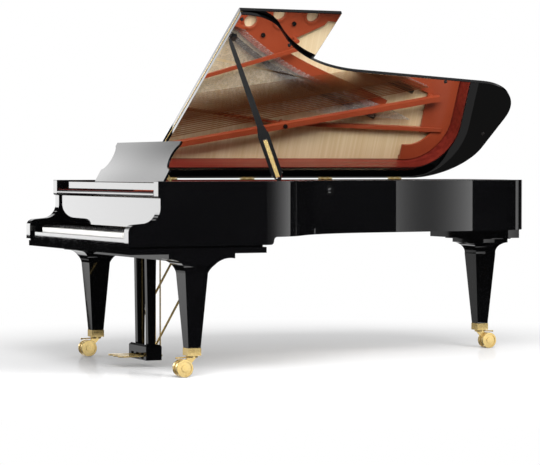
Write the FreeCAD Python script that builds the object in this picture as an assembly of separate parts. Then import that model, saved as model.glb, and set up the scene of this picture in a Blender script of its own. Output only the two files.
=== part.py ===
import FreeCAD
import Part
import math
import os

# Concert grand piano with its lid raised on the long prop.
# Millimetres. While modelling: x = 0 is the middle of the case and +x the treble side,
# y = 0 is the front of the keybed and +y the tail, z = 0 is the floor.

V = FreeCAD.Vector
UP = V(0, 0, 1)

# Case outline
HALF = 788.0
CASE_LENGTH = 2770.0
SHOULDER_START = 735.0
SHOULDER_RADIUS = 330.0
SHOULDER_ANGLE = math.radians(50.8)
SHOULDER_STRAIGHT = 72.0
BENTSIDE_RADIUS = 865.0
TAIL_ANGLE = math.radians(5.8)
TAIL_RADIUS = 350.0
SPINE_CORNER_RADIUS = 340.0
ARM_FRONT = -12.0
RIM_TOP = 995.0
RIM_BOTTOM = 708.0
CHEEK_BOTTOM = 668.0
RIM_WALL = 60.0
EDGE_ROUND = 3.0
OGEE_START = 770.0
OGEE_RADIUS = 20.0
BLOCK_FRONT = 148.0
BLOCK_FOOT = 921.0
NECK_FRONT = 160.0
COVE_RADIUS = 78.0
COVE_FOOT = 782.0
ARM_TOP = 777.0
NOSE_RADIUS = 38.0

# Inner case
INNER_RIM_WALL = 50.0
SOUNDBOARD_BOTTOM = 856.0
SOUNDBOARD_TOP = 865.0
BELLY_LINE = 667.0
BELLY_SLOPE = -0.0857
BELLY_RAIL = 45.0
LINING = 4.0
LINING_FRONT = 650.0
LINING_TOP = 989.0
POST_BOTTOM = 720.0
POST_TOP = 815.0
POST_WIDTH = 70.0
POST_FRONT = 600.0
POST_RUNS = ((-480.0, -560.0), (-160.0, -300.0), (160.0, -40.0), (430.0, 150.0))
RIB_HEIGHT = 20.0
RIB_WIDTH = 22.0
RIB_SHARES = (0.158, 0.971)
RIB_COUNT = 10
RIB_MIDDLE = -150.0
RIB_ANGLE = math.radians(40)

# Keybed
KEYBED_INSET = 8.0
KEYBED_REAR = 749.0
KEYBED_BOTTOM = 628.0
KEYBED_EDGE = 658.0
KEYBED_REBATE = 15.0
KEYBED_LIP = 3.0
BEAM_BOTTOM = 585.0
BEAM_CLEARANCE = 0.5
BEAM_FRONT = 296.0
BEAM_REAR = 340.0

# Keyboard
WHITE_PITCH = 23.5
NATURAL_COUNT = 52
KEY_GAP = 1.0
KEY_FRONT = 22.0
HEAD_REAR = 72.0
TAIL_REAR = 172.0
KEY_REAR = 492.0
KEY_BOTTOM = 703.0
NATURAL_TOP = 733.0
SHARP_TOP = 745.0
STICK_TOP = 727.0
STICK_WIDTH = 11.0
SHARP_WIDTH = 10.5
SHARP_SETBACK = 2.0
FAN_START = 190.0
FAN_END = 400.0
CAPSTAN_Y = 395.0
CAPSTAN = 8.0
CAPSTAN_TOP = 736.7
GROUP_SHIFTS = (-34.0, 0.0, 26.0, 52.0)
GROUP_STARTS = (0, 20, 44, 65)
NOTES = 88
DAMPED_NOTES = 68
KEYSLIP_DEPTH = 15.0
KEYSLIP_TOP = 708.0
BLOCK_CLEARANCE = 2.0
KEY_BLOCK_GAP = 5.0
KEY_BLOCK_FRONT = 40.0
KEY_BLOCK_REAR = 170.0

# Keyframe and action
FRAME_GAP = 0.3
FRONT_RAIL = (40.0, 80.0, 690.0)
BALANCE_RAIL = (235.0, 275.0, 696.0)
BALANCE_Y = 255.0
BALANCE_RIDGE = 12.0
BACK_RAIL = (440.0, 540.0, 690.0)
BACK_PAD = (455.0, 492.0)
FRAME_REACH = 1.0
FRAME_TIE = 60.0
BACK_MARGIN = 28.0
BRACKET_MARGINS = (56.0, 48.0)
BRACKET_WIDTH = 12.0
WIPPEN = (380.0, 507.5, 737.0, 762.0)
WIPPEN_WIDTH = 9.0
WIPPEN_RAIL = (508.5, 530.0, 738.0, 765.0)
HAMMER_RAIL = (395.0, 418.0, 785.0, 812.0)
HAMMER_PIVOT_Y = 425.0
SHANK_BOTTOM = 794.0
SHANK_TOP = 800.0
KNUCKLE = (450.0, 460.0, 762.4)
STRIKE_Y = 560.0
HAMMER_LENGTH = 28.0
HAMMER_BOTTOM = 790.0
HAMMER_CROWN = 860.0
HAMMER_SHOULDER = 845.0
HAMMER_WIDTH = 9.0
BASS_RISE = 19.0

# Strings
PLAIN_Z = 905.0
PLAIN_RADIUS = 0.5
PLAIN_SPREAD = 3.97
PLAIN_HITCH_SPREAD = 2.0
WOUND_Z = 925.0
WOUND_THICK = 3.0
WOUND_THIN = 1.2
WOUND_SPREAD = 3.0
WOUND_HITCH_SPREAD = 2.5
SINGLE_STRINGS = 8
SCALE_Y = 530.0
STRING_GAP = 0.3
PIN_ROWS = (390.0, 348.0, 306.0)
PIN_RADIUS = 3.2
PIN_BOTTOM = 850.0
PIN_TOP = 930.0
HITCH_RADIUS = 1.0
HITCH_STAGGER = 10.0
HITCH_OFFSET = 75.0
BASS_HITCH = 120.0
HITCH_RISE = 7.0
AGRAFFE_Y = 455.0
AGRAFFE_DEPTH = 9.0
AGRAFFE_WIDTH = 11.2
AGRAFFE_RISE = 5.0
HOLE_CLEARANCE = 0.4
HOLE_REACH = 150.0
LONG_BRIDGE = ((615, -0.0166), (535, 0.0109), (325, 0.0870), (90, 0.2059),
               (-130, 0.3628), (-290, 0.5340), (-430, 0.7052))
BREAK_STEPS = 1.2
BRIDGE_CURVE = 1.1
BASS_BRIDGE = ((-250.0, 0.8003), (-120.0, 0.6386))
BRIDGE_END = 30.0
BRIDGE_WIDTH = 30.0
BRIDGE_GAP = 0.1
BRIDGE_CLEARANCE = 4.0

# Pin block and iron plate
PINBLOCK_FRONT = 225.0
PINBLOCK_REAR = 425.0
PINBLOCK_BOTTOM = 840.0
PLATE_BOTTOM = 878.0
PLATE_TOP = 890.0
PLATE_INSET = 70.0
FLANGE = 95.0
SEAT_LIP = 20.0
WEB_FRONT = 230.0
WEB_REAR = 480.0
WINDOW_MARGIN = 9.0
HITCH_BAND = (38.0, 122.0)
PORT_RADIUS = 40.0
PORT_RIM = 12.0
PORT_RISE = 8.0
PORTS = ((150.0, 0.2725), (155.0, 0.3652), (150.0, 0.4674))
TREBLE_WEB = ((690, 0.0157), (600, 0.0442), (390, 0.1132), (150, 0.2297),
              (-60, 0.3723), (5, 0.4294), (90, 0.5102), (200, 0.5435),
              (420, 0.5435), (740, 0.2059), (740, 0.0157))
TAIL_WEB = 0.8716
TAIL_WEB_LEFT = 248.0
BASS_EDGE = 228.0
BASS_EDGE_REAR = 0.8241
TREBLE_EDGE = 288.0
TREBLE_EDGE_REAR = (560.0, 700.0)
STRUT_BOTTOM = 915.0
STRUT_TOP = 945.0
BAR_TOP = 900.0
ARCH_BOTTOM = 936.0
ARCH_TOP = 952.0
ARCH_END = (5.0, 0.4246)
ARCH_WIDTH = 22.0
STRUT_FRONT = (-692.0, 440.0)
STRUT_REAR = (-295.0, 0.9001)
STRUT_POSTS = ((-690.0, 452.0), (-302.0, 0.8811))
STRUT_WIDTH = 34.0
BAR_JOINT = (-482.0, 0.4246)
BAR_REAR = (-520.0, 0.9382)
BAR_WIDTH = 24.0
BREAK_BAR_WIDTH = 14.0
BREAK_BAR_SHIFT = 10.0
WEB_OVERLAP = 10.0
TREBLE_BAR_WIDTH = 18.0
TREBLE_BAR_DROP = 5.0
TREBLE_BAR_RUN = 30.0
HITCH_RAIL = 84.0
HITCH_RAIL_REACH = 300.0
BOLT_RADIUS = 13.0
BOLT_RISE = 16.0
BOLT_PLACES = ((540, 0.0918), (330, 0.2107), (65, 0.3176), (95, 0.4151), (-60, 0.9001))

# Dampers
DAMPER_FRONT = 595.0
DAMPER_REAR = 650.0
DAMPER_HEIGHT = 15.0
DAMPER_WIDTH = 10.0
DAMPER_GAP = 0.3
WIRE_Y = 600.0
WIRE_OFFSET = 6.5
WIRE_RADIUS = 0.8
WIRE_BOTTOM = 800.0

# Fallboard
FALLBOARD_GAP = 14.0
FALLBOARD = (170.0, 186.0, 756.0, 911.0)
FALLBOARD_AXIS = (192.0, 782.0)
FALL_EAR = 10.0
FALL_EAR_HALF = 8.0
FALL_PIN = 4.0
FALL_PIN_DEPTH = 12.0

# Music shelf and desk
RAIL_WIDTH = 14.0
RAIL_BOTTOM = 935.0
FRONT_LEDGE = (147.0, 187.0, 914.0, 940.0)
LEDGE_ROUND = 12.0
LEDGE_CLEARANCE = 0.5
SHELF_BOTTOM = 955.0
SHELF_TOP = 975.0
SHELF_GAP = 6.0
SHELF_FRONT = 190.0
SHELF_OPENING = 285.0
SHELF_SIDE = 452.0
SHELF_REAR = 620.0
APRON = (184.0, 204.0, 950.0, 985.0)
APRON_GAP = 1.0
CROSS_RAIL = (390.0, 420.0, 979.0)
DESK_Y = 300.0
DESK_Z = 981.0
DESK_ANGLE = 61.0
DESK_SLANT = 246.0
DESK_THICKNESS = 12.0
DESK_BOTTOM_HALF = 500.0
DESK_FOOT = 64.0
DESK_FOOT_ROUND = 15.0
DESK_COVE_HALF = 422.0
DESK_COVE_MIDDLE = 132.0
DESK_COVE_TOP = 224.0
DESK_TOP_HALF = 460.0
DESK_LUG = 10.0
DESK_LUG_GAP = 1.0
DESK_PIN = 3.0
STRUT_X = 400.0
STRUT_PIVOT = (75.0, 14.0)
STRUT_LENGTH = 78.0
STRUT_SPREAD = 22.0
STRUT_BAR = 5.0

# Lid
LID_GAP = 6.0
LID_THICKNESS = 20.0
LID_ANGLE = 32.8
LID_OVERHANG = 4.0
LID_FRONT = 123.0
FOLD_Y = 716.0
HINGE_OUT = 4.0
HINGE_LEAF = 2.5
HINGE_RADIUS = 3.9
HINGE_LENGTH = 90.0
HINGE_PLACES = (0.0918, 0.3248, 0.5673, 0.7908)
LEAF_DROP = 40.0
LEAF_RISE = 16.0
FOLD_RISE = 3.0
FOLD_RADIUS = 2.8
FOLD_PIN = 1.2
FOLD_LEAF = 1.5
FOLD_LEAF_WIDTH = 20.0
FOLD_SEGMENTS = 15
FIT = 0.05
BUMPER_RADIUS = 9.0
BUMPER_HEIGHT = 5.5
BUMPERS = ((-300, 0.9691), (225, 0.7290), (535, 0.2035), (752, 0.0323))

# Lid prop
PROP_FOOT_INSET = 148.0
PROP_FOOT_Y = 895.0
PROP_FOOT_Z = 972.0
PROP_EDGE = 193.0
PROP_TOP_Y = 722.0
PROP_SLACK = 10.0
CUP_DEPTH = 12.0
CUP_GAP = 12.5
PROP_WIDTH = 20.0
PROP_SHOULDER = 36.0
PROP_TOP_WIDTH = 22.0
PROP_DEPTH = 16.0
PROP_TIP = 12.0
PROP_WIDE = 60.0
PROP_WIDE_END = 330.0
PROP_HEEL = 24.0
PROP_SLOT = 22.0
PROP_RAMP = 40.0
PROP_NECK_RAMP = 50.0
PROP_POINT = 30.0
PROP_POINT_FLAT = 8.0
SLOT_END = 12.0
PROP_PIN = 5.0
PROP_BARREL = 10.0
BARREL_HALF = 10.0
LUG_GAP = 1.0
LUG_LENGTH = 9.0
PROP_FOLD = math.radians(4.0)
PROP_TILT = math.radians(-10.0)
HALF_PIVOT = 245.0
HALF_FREE = 45.0
HALF_PIN = 3.0

# Legs, casters and lyre
LEG_INSET = 81.0
LEG_FRONT_Y = 368.0
LEG_TAIL_X = -250.0
LEG_TAIL_INSET = 160.0
LEG_TOP_HALF = 160.0
LEG_TOP_REAR = 205.0
LEG_TOP_COVE = 602.0
LEG_NECK_HALF = 62.5
LEG_NECK = 530.0
TAIL_NECK_HALF = 66.0
TAIL_NECK = 560.0
TAIL_TOP_HALF = 118.0
TAIL_TOP_COVE = 626.0
TAIL_TOP = 648.0
TAIL_STEP = 656.0
TAIL_STEP_SIZE = (165.0, 140.0, 110.0)
TAIL_PLATE_SIZE = (260.0, 190.0, 110.0)
LEG_FOOT = 148.0
LEG_FOOT_HALF = 34.0
FERRULE_HALF = 36.0
FERRULE_BOTTOM = 109.0
STEM_RADIUS = 8.0
STEM_TOP = 138.0
CASTER_DISC = 30.0
CASTER_DISC_HEIGHT = 10.0
CASTER_GAP = 0.4
CASTER_TRAIL = 50.0
CASTER_WEB = 12.0
WHEEL_DISH = (17.0, 37.0, 5.0)
WHEEL_ROUND = 2.5
TAB_RADIUS = 3.5
TAB_BALL = 5.5
TAB_REACH = 36.0
WHEEL_RADIUS = 46.0
WHEEL_INNER = 8.0
WHEEL_OUTER = 30.0
AXLE_RADIUS = 6.0
LYRE_Y = 390.0
LYRE_BOX_HALF = 125.0
LYRE_BOX_DEPTH = 90.0
LYRE_BOX_BOTTOM = 37.0
LYRE_BOX_TOP = 120.0
POST_X = 76.0
PEDAL_X = (-72.0, 0.0, 72.0)
PEDAL_TIP = 208.0
PEDAL_REAR = 456.0
PEDAL_PIVOT_Y = 400.0
PEDAL_PIVOT_Z = 59.0
PEDAL_BOTTOM = 55.0
PEDAL_TOP = 63.0
PEDAL_PIN = 4.0
PEDAL_PIN_HALF = 26.0
ROD_Y = 448.0
ROD_RADIUS = 4.0
ROD_TOP = 660.0
ROD_HOLE = 7.0
BRACE_X = 36.0
BRACE_POST_X = 86.0
BRACE_STEP = 190.0
BRACE_RADIUS = 6.0
BRACE_FOOT = 108.0
BRACE_SINK = 10.0
BRACE_REAR = 735.0

# Lid lock
LOCK_Y = 1305.0
LOCK_Z = 940.0
LOCK_RADIUS = 29.0

INNER = HALF - RIM_WALL
KEYBED_HALF = HALF - KEYBED_INSET
KEY_HALF = NATURAL_COUNT * WHITE_PITCH / 2
FRAME_HALF = KEY_HALF + FRAME_REACH
LEG_FRONT = (KEYBED_HALF - LEG_INSET, LEG_FRONT_Y)
LEG_TAIL = (LEG_TAIL_X, CASE_LENGTH - LEG_TAIL_INSET)
BEAM_HALF = LEG_FRONT[0] - LEG_TOP_HALF - BEAM_CLEARANCE
FALLBOARD_HALF = INNER - FALLBOARD_GAP
RAIL_INNER = INNER - RAIL_WIDTH
SHELF_HALF = INNER - SHELF_GAP
PROP_FOOT = V(HALF - PROP_FOOT_INSET, PROP_FOOT_Y, PROP_FOOT_Z)
PROP_REACH = 2 * HALF - PROP_EDGE
LID_BOTTOM = RIM_TOP + LID_GAP
LID_TOP = LID_BOTTOM + LID_THICKNESS
HINGE_X = -HALF - HINGE_OUT
HINGE_Z = RIM_TOP + LID_GAP / 2
LID_TURN = math.radians(LID_ANGLE)

nodes = {}


def back(share):
    """Place along the case, as a share of the way from the belly line to the tail."""
    return BELLY_LINE + share * (CASE_LENGTH - BELLY_LINE)


def box(x0, x1, y0, y1, z0, z1):
    return Part.makeBox(x1 - x0, y1 - y0, z1 - z0, V(x0, y0, z0))


def closed_wire(start, steps):
    """Wire from start through points (lines) and pairs (arc through the first, ending at the second)."""
    edges = []
    here = start
    for step in steps:
        if isinstance(step, tuple):
            edges.append(Part.Arc(here, step[0], step[1]).toShape())
            here = step[1]
        elif (step - here).Length > 1e-6:
            edges.append(Part.makeLine(here, step))
            here = step
    if (here - start).Length > 1e-6:
        edges.append(Part.makeLine(here, start))
    return Part.Wire(edges)


def prism(wire, along):
    return Part.Face(wire).extrude(along)


def plan(points, z0, z1):
    corners = [V(p[0], p[1], z0) for p in points]
    return prism(closed_wire(corners[0], corners[1:]), V(0, 0, z1 - z0))


def side(points, x0, x1):
    corners = [V(x0, p[0], p[1]) for p in points]
    return prism(closed_wire(corners[0], corners[1:]), V(x1 - x0, 0, 0))


def rod(start, end, radius):
    along = end - start
    return Part.makeCylinder(radius, along.Length, start, along)


def fuse(shapes):
    return shapes[0].multiFuse(shapes[1:]).removeSplitter()


def solids(shape):
    return list(shape.Solids)


def unit(angle):
    return V(math.cos(angle), math.sin(angle), 0)


def outline(inset, front, z):
    """Closed wire of the case outline moved inwards, cut straight across at the front."""
    one = unit(SHOULDER_ANGLE)
    two = unit(TAIL_ANGLE)
    c1 = V(HALF - SHOULDER_RADIUS, SHOULDER_START, 0)
    c2 = c1 + one * SHOULDER_RADIUS + V(-one.y, one.x, 0) * SHOULDER_STRAIGHT + one * BENTSIDE_RADIUS
    bend = c2 - two * BENTSIDE_RADIUS
    run = (CASE_LENGTH - TAIL_RADIUS - bend.y + TAIL_RADIUS * two.y) / two.x
    c3 = bend + V(-two.y, two.x, 0) * run - two * TAIL_RADIUS
    c4 = V(SPINE_CORNER_RADIUS - HALF, CASE_LENGTH - SPINE_CORNER_RADIUS, 0)
    level = V(0, 0, z)
    r1 = SHOULDER_RADIUS - inset
    r2 = BENTSIDE_RADIUS + inset
    r3 = TAIL_RADIUS - inset
    r4 = SPINE_CORNER_RADIUS - inset
    start = V(HALF - inset, front, z)
    steps = []
    if front < SHOULDER_START:
        steps.append(c1 + V(r1, 0, 0) + level)
    steps.append((c1 + unit(SHOULDER_ANGLE / 2) * r1 + level, c1 + one * r1 + level))
    steps.append(c2 - one * r2 + level)
    middle = (SHOULDER_ANGLE + TAIL_ANGLE) / 2
    steps.append((c2 - unit(middle) * r2 + level, c2 - two * r2 + level))
    steps.append(c3 + two * r3 + level)
    middle = (TAIL_ANGLE + math.pi / 2) / 2
    steps.append((c3 + unit(middle) * r3 + level, c3 + V(0, r3, 0) + level))
    steps.append(c4 + V(0, r4, 0) + level)
    steps.append((c4 + unit(math.pi * 0.75) * r4 + level, c4 + V(-r4, 0, 0) + level))
    steps.append(V(inset - HALF, front, z))
    return closed_wire(start, steps)


def case_prism(inset, front, z0, z1):
    return prism(outline(inset, front, z0), V(0, 0, z1 - z0))


def round_edges(shape, radius, wanted):
    """Round the edges whose middle point passes the test."""
    chosen = [e for e in shape.Edges if wanted(e.valueAt((e.FirstParameter + e.LastParameter) / 2))]
    return shape.makeFillet(radius, chosen)


def at(z):
    return lambda p: abs(p.z - z) < 1e-3


def behind_belly(offset, z0, z1):
    """Everything behind the slanted belly line moved back by the offset."""
    left = BELLY_LINE + offset - BELLY_SLOPE * HALF
    right = BELLY_LINE + offset + BELLY_SLOPE * HALF
    far = CASE_LENGTH + 100
    return plan([(-HALF, left), (HALF, right), (HALF, far), (-HALF, far)], z0, z1)


# Outer rim with cheeks and arms
rim = case_prism(0, ARM_FRONT, CHEEK_BOTTOM, RIM_TOP)
rim = rim.cut(case_prism(RIM_WALL, ARM_FRONT - 10, CHEEK_BOTTOM - 1, RIM_TOP + 1))
slope = math.sqrt(0.5)
x_far = -HALF - 20
step = NECK_FRONT - BLOCK_FRONT
cove_top = COVE_FOOT + COVE_RADIUS
cove_y = NECK_FRONT - COVE_RADIUS
cove_mid = V(x_far, cove_y + COVE_RADIUS * slope, cove_top - COVE_RADIUS * slope)
nose_y = ARM_FRONT + NOSE_RADIUS
nose_z = ARM_TOP - NOSE_RADIUS
nose_mid = V(x_far, nose_y - NOSE_RADIUS * slope, nose_z + NOSE_RADIUS * slope)
cheek_cut = closed_wire(V(x_far, ARM_FRONT - 20, RIM_TOP + 5), [
    V(x_far, BLOCK_FRONT, RIM_TOP + 5),
    V(x_far, BLOCK_FRONT, BLOCK_FOOT),
    (V(x_far, BLOCK_FRONT + step * (1 - slope), BLOCK_FOOT - step * slope), V(x_far, NECK_FRONT, BLOCK_FOOT - step)),
    V(x_far, NECK_FRONT, cove_top),
    (cove_mid, V(x_far, cove_y, COVE_FOOT)),
    V(x_far, nose_y, ARM_TOP),
    (nose_mid, V(x_far, ARM_FRONT, nose_z)),
    V(x_far, ARM_FRONT - 20, nose_z)])
rim = rim.cut(prism(cheek_cut, V(-2 * x_far, 0, 0)))
ogee_mid = OGEE_START + OGEE_RADIUS
ogee_cut = closed_wire(V(x_far, OGEE_START, CHEEK_BOTTOM - 10), [
    V(x_far, OGEE_START, CHEEK_BOTTOM),
    (V(x_far, OGEE_START + OGEE_RADIUS * slope, CHEEK_BOTTOM + OGEE_RADIUS * (1 - slope)),
     V(x_far, ogee_mid, CHEEK_BOTTOM + OGEE_RADIUS)),
    (V(x_far, ogee_mid + OGEE_RADIUS * (1 - slope), RIM_BOTTOM - OGEE_RADIUS * (1 - slope)),
     V(x_far, ogee_mid + OGEE_RADIUS, RIM_BOTTOM)),
    V(x_far, CASE_LENGTH + 50, RIM_BOTTOM),
    V(x_far, CASE_LENGTH + 50, CHEEK_BOTTOM - 10)])
rim = rim.cut(prism(ogee_cut, V(-2 * x_far, 0, 0)))
rim = round_edges(rim, EDGE_ROUND, at(RIM_TOP))
for sign in (-1, 1):
    pivot_hole = rod(V(sign * (INNER - 5), *FALLBOARD_AXIS), V(sign * (INNER + FALL_PIN_DEPTH + 1), *FALLBOARD_AXIS),
                     FALL_PIN + FIT)
    rim = rim.cut(pivot_hole)
nodes["outer_rim"] = [rim]

lining = case_prism(RIM_WALL, LINING_FRONT, SOUNDBOARD_TOP, LINING_TOP)
lining = lining.cut(case_prism(RIM_WALL + LINING, LINING_FRONT - 10, SOUNDBOARD_TOP - 1, LINING_TOP + 1))
lining = lining.common(behind_belly(0, SOUNDBOARD_TOP, LINING_TOP))
nodes["rim_lining"] = solids(lining)

inner = case_prism(RIM_WALL, LINING_FRONT - 100, RIM_BOTTOM, SOUNDBOARD_BOTTOM)
inner_wall = RIM_WALL + INNER_RIM_WALL
inner = inner.cut(case_prism(inner_wall, LINING_FRONT - 150, RIM_BOTTOM - 1, SOUNDBOARD_BOTTOM + 1))
inner = inner.common(behind_belly(BELLY_RAIL, RIM_BOTTOM, SOUNDBOARD_BOTTOM))
nodes["inner_rim"] = solids(inner)

board = case_prism(RIM_WALL, LINING_FRONT - 100, SOUNDBOARD_BOTTOM, SOUNDBOARD_TOP)
board = board.common(behind_belly(0, SOUNDBOARD_BOTTOM, SOUNDBOARD_TOP))
nodes["soundboard"] = [board]

# Keybed with a rebated top edge and holes for the pedal rods
keybed = fuse([
    box(-KEYBED_HALF, KEYBED_HALF, 0, KEYBED_REAR, KEYBED_BOTTOM, KEYBED_EDGE),
    box(KEYBED_REBATE - KEYBED_HALF, KEYBED_HALF - KEYBED_REBATE, KEYBED_LIP, KEYBED_REAR - KEYBED_REBATE,
        KEYBED_EDGE, CHEEK_BOTTOM)])
for x in PEDAL_X:
    keybed = keybed.cut(rod(V(x, ROD_Y, KEYBED_BOTTOM - 1), V(x, ROD_Y, CHEEK_BOTTOM + 1), ROD_HOLE))
nodes["keybed"] = [keybed]

# Belly rail, posts and the beam under the keybed
inside = RIM_WALL - HALF
belly = plan([(x, BELLY_LINE + BELLY_SLOPE * x + d) for x, d in
              ((inside, 0), (-inside, 0), (-inside, BELLY_RAIL), (inside, BELLY_RAIL))],
             CHEEK_BOTTOM, SOUNDBOARD_BOTTOM)
hollow = case_prism(inner_wall, LINING_FRONT, POST_BOTTOM, SOUNDBOARD_BOTTOM)
hollow = hollow.common(behind_belly(BELLY_RAIL, POST_BOTTOM, SOUNDBOARD_BOTTOM))
posts = []
for start_x, end_x in POST_RUNS:
    head = V(start_x, POST_FRONT, 0)
    foot = V(end_x, CASE_LENGTH, 0)
    across = V(foot.y - head.y, head.x - foot.x, 0).normalize() * (POST_WIDTH / 2)
    corners = [head + across, foot + across, foot - across, head - across]
    post = plan([(p.x, p.y) for p in corners], POST_BOTTOM, POST_TOP)
    posts += solids(post.common(hollow))
beam = box(-BEAM_HALF, BEAM_HALF, BEAM_FRONT, BEAM_REAR, BEAM_BOTTOM, KEYBED_BOTTOM)
nodes["case_beams"] = [belly, beam] + posts

ribs = []
rib_dir = unit(RIB_ANGLE)
rib_side = V(-rib_dir.y, rib_dir.x, 0)
for i in range(RIB_COUNT):
    middle = V(RIB_MIDDLE, back(RIB_SHARES[0] + (RIB_SHARES[1] - RIB_SHARES[0]) * i / (RIB_COUNT - 1)), 0)
    corners = [middle + rib_dir * a + rib_side * b for a, b in
               ((-CASE_LENGTH, -RIB_WIDTH / 2), (CASE_LENGTH, -RIB_WIDTH / 2), (CASE_LENGTH, RIB_WIDTH / 2),
                (-CASE_LENGTH, RIB_WIDTH / 2))]
    bar = plan([(p.x, p.y) for p in corners], SOUNDBOARD_BOTTOM - RIB_HEIGHT, SOUNDBOARD_BOTTOM)
    ribs += solids(bar.common(hollow))
nodes["soundboard_ribs"] = ribs

# Keyslip and key blocks
slip_half = INNER - BLOCK_CLEARANCE
nodes["keyslip"] = [round_edges(box(-slip_half, slip_half, KEYBED_LIP, KEYBED_LIP + KEYSLIP_DEPTH, CHEEK_BOTTOM,
                                    KEYSLIP_TOP), EDGE_ROUND, at(KEYSLIP_TOP))]
blocks = []
for sign in (-1, 1):
    edges = sorted((sign * (KEY_HALF + KEY_BLOCK_GAP), sign * slip_half))
    block = box(edges[0], edges[1], KEY_BLOCK_FRONT, KEY_BLOCK_REAR, CHEEK_BOTTOM, SHARP_TOP)
    blocks.append(round_edges(block, EDGE_ROUND, at(SHARP_TOP)))
nodes["key_blocks"] = blocks


def group(note):
    return max(i for i, first in enumerate(GROUP_STARTS) if note >= first)


def is_sharp(note):
    return (note + 9) % 12 in (1, 3, 6, 8, 10)


def slot(note):
    """Left edge and width of the space a key has behind the natural heads."""
    step = (note + 9) % 12
    octave = WHITE_PITCH * (7 * ((note + 9) // 12) - 5) - KEY_HALF
    if step < 5:
        width = 3 * WHITE_PITCH / 5
        return octave + width * step, width
    width = 4 * WHITE_PITCH / 7
    return octave + 3 * WHITE_PITCH + width * (step - 5), width


def key_x(note):
    left, width = slot(note)
    return left + width / 2


def action_x(note):
    return key_x(note) + GROUP_SHIFTS[group(note)]


def stick(note):
    x = key_x(note)
    far = action_x(note)
    h = STICK_WIDTH / 2
    points = [(x - h, TAIL_REAR), (x + h, TAIL_REAR), (x + h, FAN_START), (far + h, FAN_END), (far + h, KEY_REAR),
              (far - h, KEY_REAR), (far - h, FAN_END), (x - h, FAN_START)]
    rear = plan(points, KEY_BOTTOM, STICK_TOP)
    c = CAPSTAN / 2
    return [rear, box(far - c, far + c, CAPSTAN_Y - c, CAPSTAN_Y + c, STICK_TOP, CAPSTAN_TOP)]


def natural(note):
    step = (note + 9) % 12
    octave = WHITE_PITCH * (7 * ((note + 9) // 12) - 5) - KEY_HALF
    white = (0, 0, 1, 1, 2, 3, 3, 4, 4, 5, 5, 6)[step]
    left = octave + WHITE_PITCH * white + KEY_GAP / 2
    right = left + WHITE_PITCH - KEY_GAP
    start, width = slot(note)
    a = start + KEY_GAP / 2
    b = start + width - KEY_GAP / 2
    top = plan([(left, KEY_FRONT), (right, KEY_FRONT), (right, HEAD_REAR), (b, HEAD_REAR), (b, TAIL_REAR),
                (a, TAIL_REAR), (a, HEAD_REAR), (left, HEAD_REAR)], KEY_BOTTOM, NATURAL_TOP)
    return fuse([top] + stick(note))


def sharp(note):
    x = key_x(note)
    h = SHARP_WIDTH / 2
    front = HEAD_REAR + SHARP_SETBACK
    profile = [(front, KEY_BOTTOM), (TAIL_REAR, KEY_BOTTOM), (TAIL_REAR, SHARP_TOP), (front + 7, SHARP_TOP),
               (front, NATURAL_TOP)]
    return fuse([side(profile, x - h, x + h)] + stick(note))


def wippen(note):
    x = action_x(note)
    return box(x - WIPPEN_WIDTH / 2, x + WIPPEN_WIDTH / 2, *WIPPEN)


def hammer(note):
    x = action_x(note)
    rise = BASS_RISE if group(note) == 0 else 0
    front = STRIKE_Y - HAMMER_LENGTH / 2
    rear = STRIKE_Y + HAMMER_LENGTH / 2
    profile = [(HAMMER_PIVOT_Y - 5, SHANK_BOTTOM), (KNUCKLE[0], SHANK_BOTTOM), (KNUCKLE[0], KNUCKLE[2]),
               (KNUCKLE[1], KNUCKLE[2]), (KNUCKLE[1], SHANK_BOTTOM), (front, SHANK_BOTTOM), (front, HAMMER_BOTTOM),
               (rear, HAMMER_BOTTOM), (rear, HAMMER_SHOULDER + rise), (STRIKE_Y + 4, HAMMER_CROWN + rise),
               (STRIKE_Y - 4, HAMMER_CROWN + rise), (front, HAMMER_SHOULDER + rise), (front, SHANK_TOP),
               (HAMMER_PIVOT_Y - 5, SHANK_TOP)]
    return side(profile, x - HAMMER_WIDTH / 2, x + HAMMER_WIDTH / 2)


naturals = [n for n in range(NOTES) if not is_sharp(n)]
sharps = [n for n in range(NOTES) if is_sharp(n)]
nodes["natural_keys"] = [natural(n) for n in naturals]
nodes["sharp_keys"] = [sharp(n) for n in sharps]
nodes["natural_wippens"] = [wippen(n) for n in naturals]
nodes["sharp_wippens"] = [wippen(n) for n in sharps]
nodes["natural_hammers"] = [hammer(n) for n in naturals]
nodes["sharp_hammers"] = [hammer(n) for n in sharps]

# Keyframe and the rails of the action that ride on it
frame_top = KEY_BOTTOM - FRAME_GAP
back_half = INNER - BACK_MARGIN
frame = [
    box(-FRAME_HALF, FRAME_HALF, FRONT_RAIL[0], FRONT_RAIL[1], CHEEK_BOTTOM, FRONT_RAIL[2]),
    box(-FRAME_HALF, FRAME_HALF, BALANCE_RAIL[0], BALANCE_RAIL[1], CHEEK_BOTTOM, BALANCE_RAIL[2]),
    box(-FRAME_HALF, FRAME_HALF, BALANCE_Y - BALANCE_RIDGE / 2, BALANCE_Y + BALANCE_RIDGE / 2,
        BALANCE_RAIL[2], frame_top),
    box(-back_half, back_half, BACK_RAIL[0], BACK_RAIL[1], CHEEK_BOTTOM, BACK_RAIL[2]),
    box(-back_half, back_half, BACK_PAD[0], BACK_PAD[1], BACK_RAIL[2], frame_top)]
for x in (-FRAME_HALF, -FRAME_HALF / 2, 0, FRAME_HALF / 2, FRAME_HALF):
    left = min(max(x - FRAME_TIE / 2, -FRAME_HALF), FRAME_HALF - FRAME_TIE)
    frame.append(box(left, left + FRAME_TIE, FRONT_RAIL[1], BACK_RAIL[0], CHEEK_BOTTOM, FRONT_RAIL[2]))
nodes["keyframe"] = [fuse(frame)]

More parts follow.
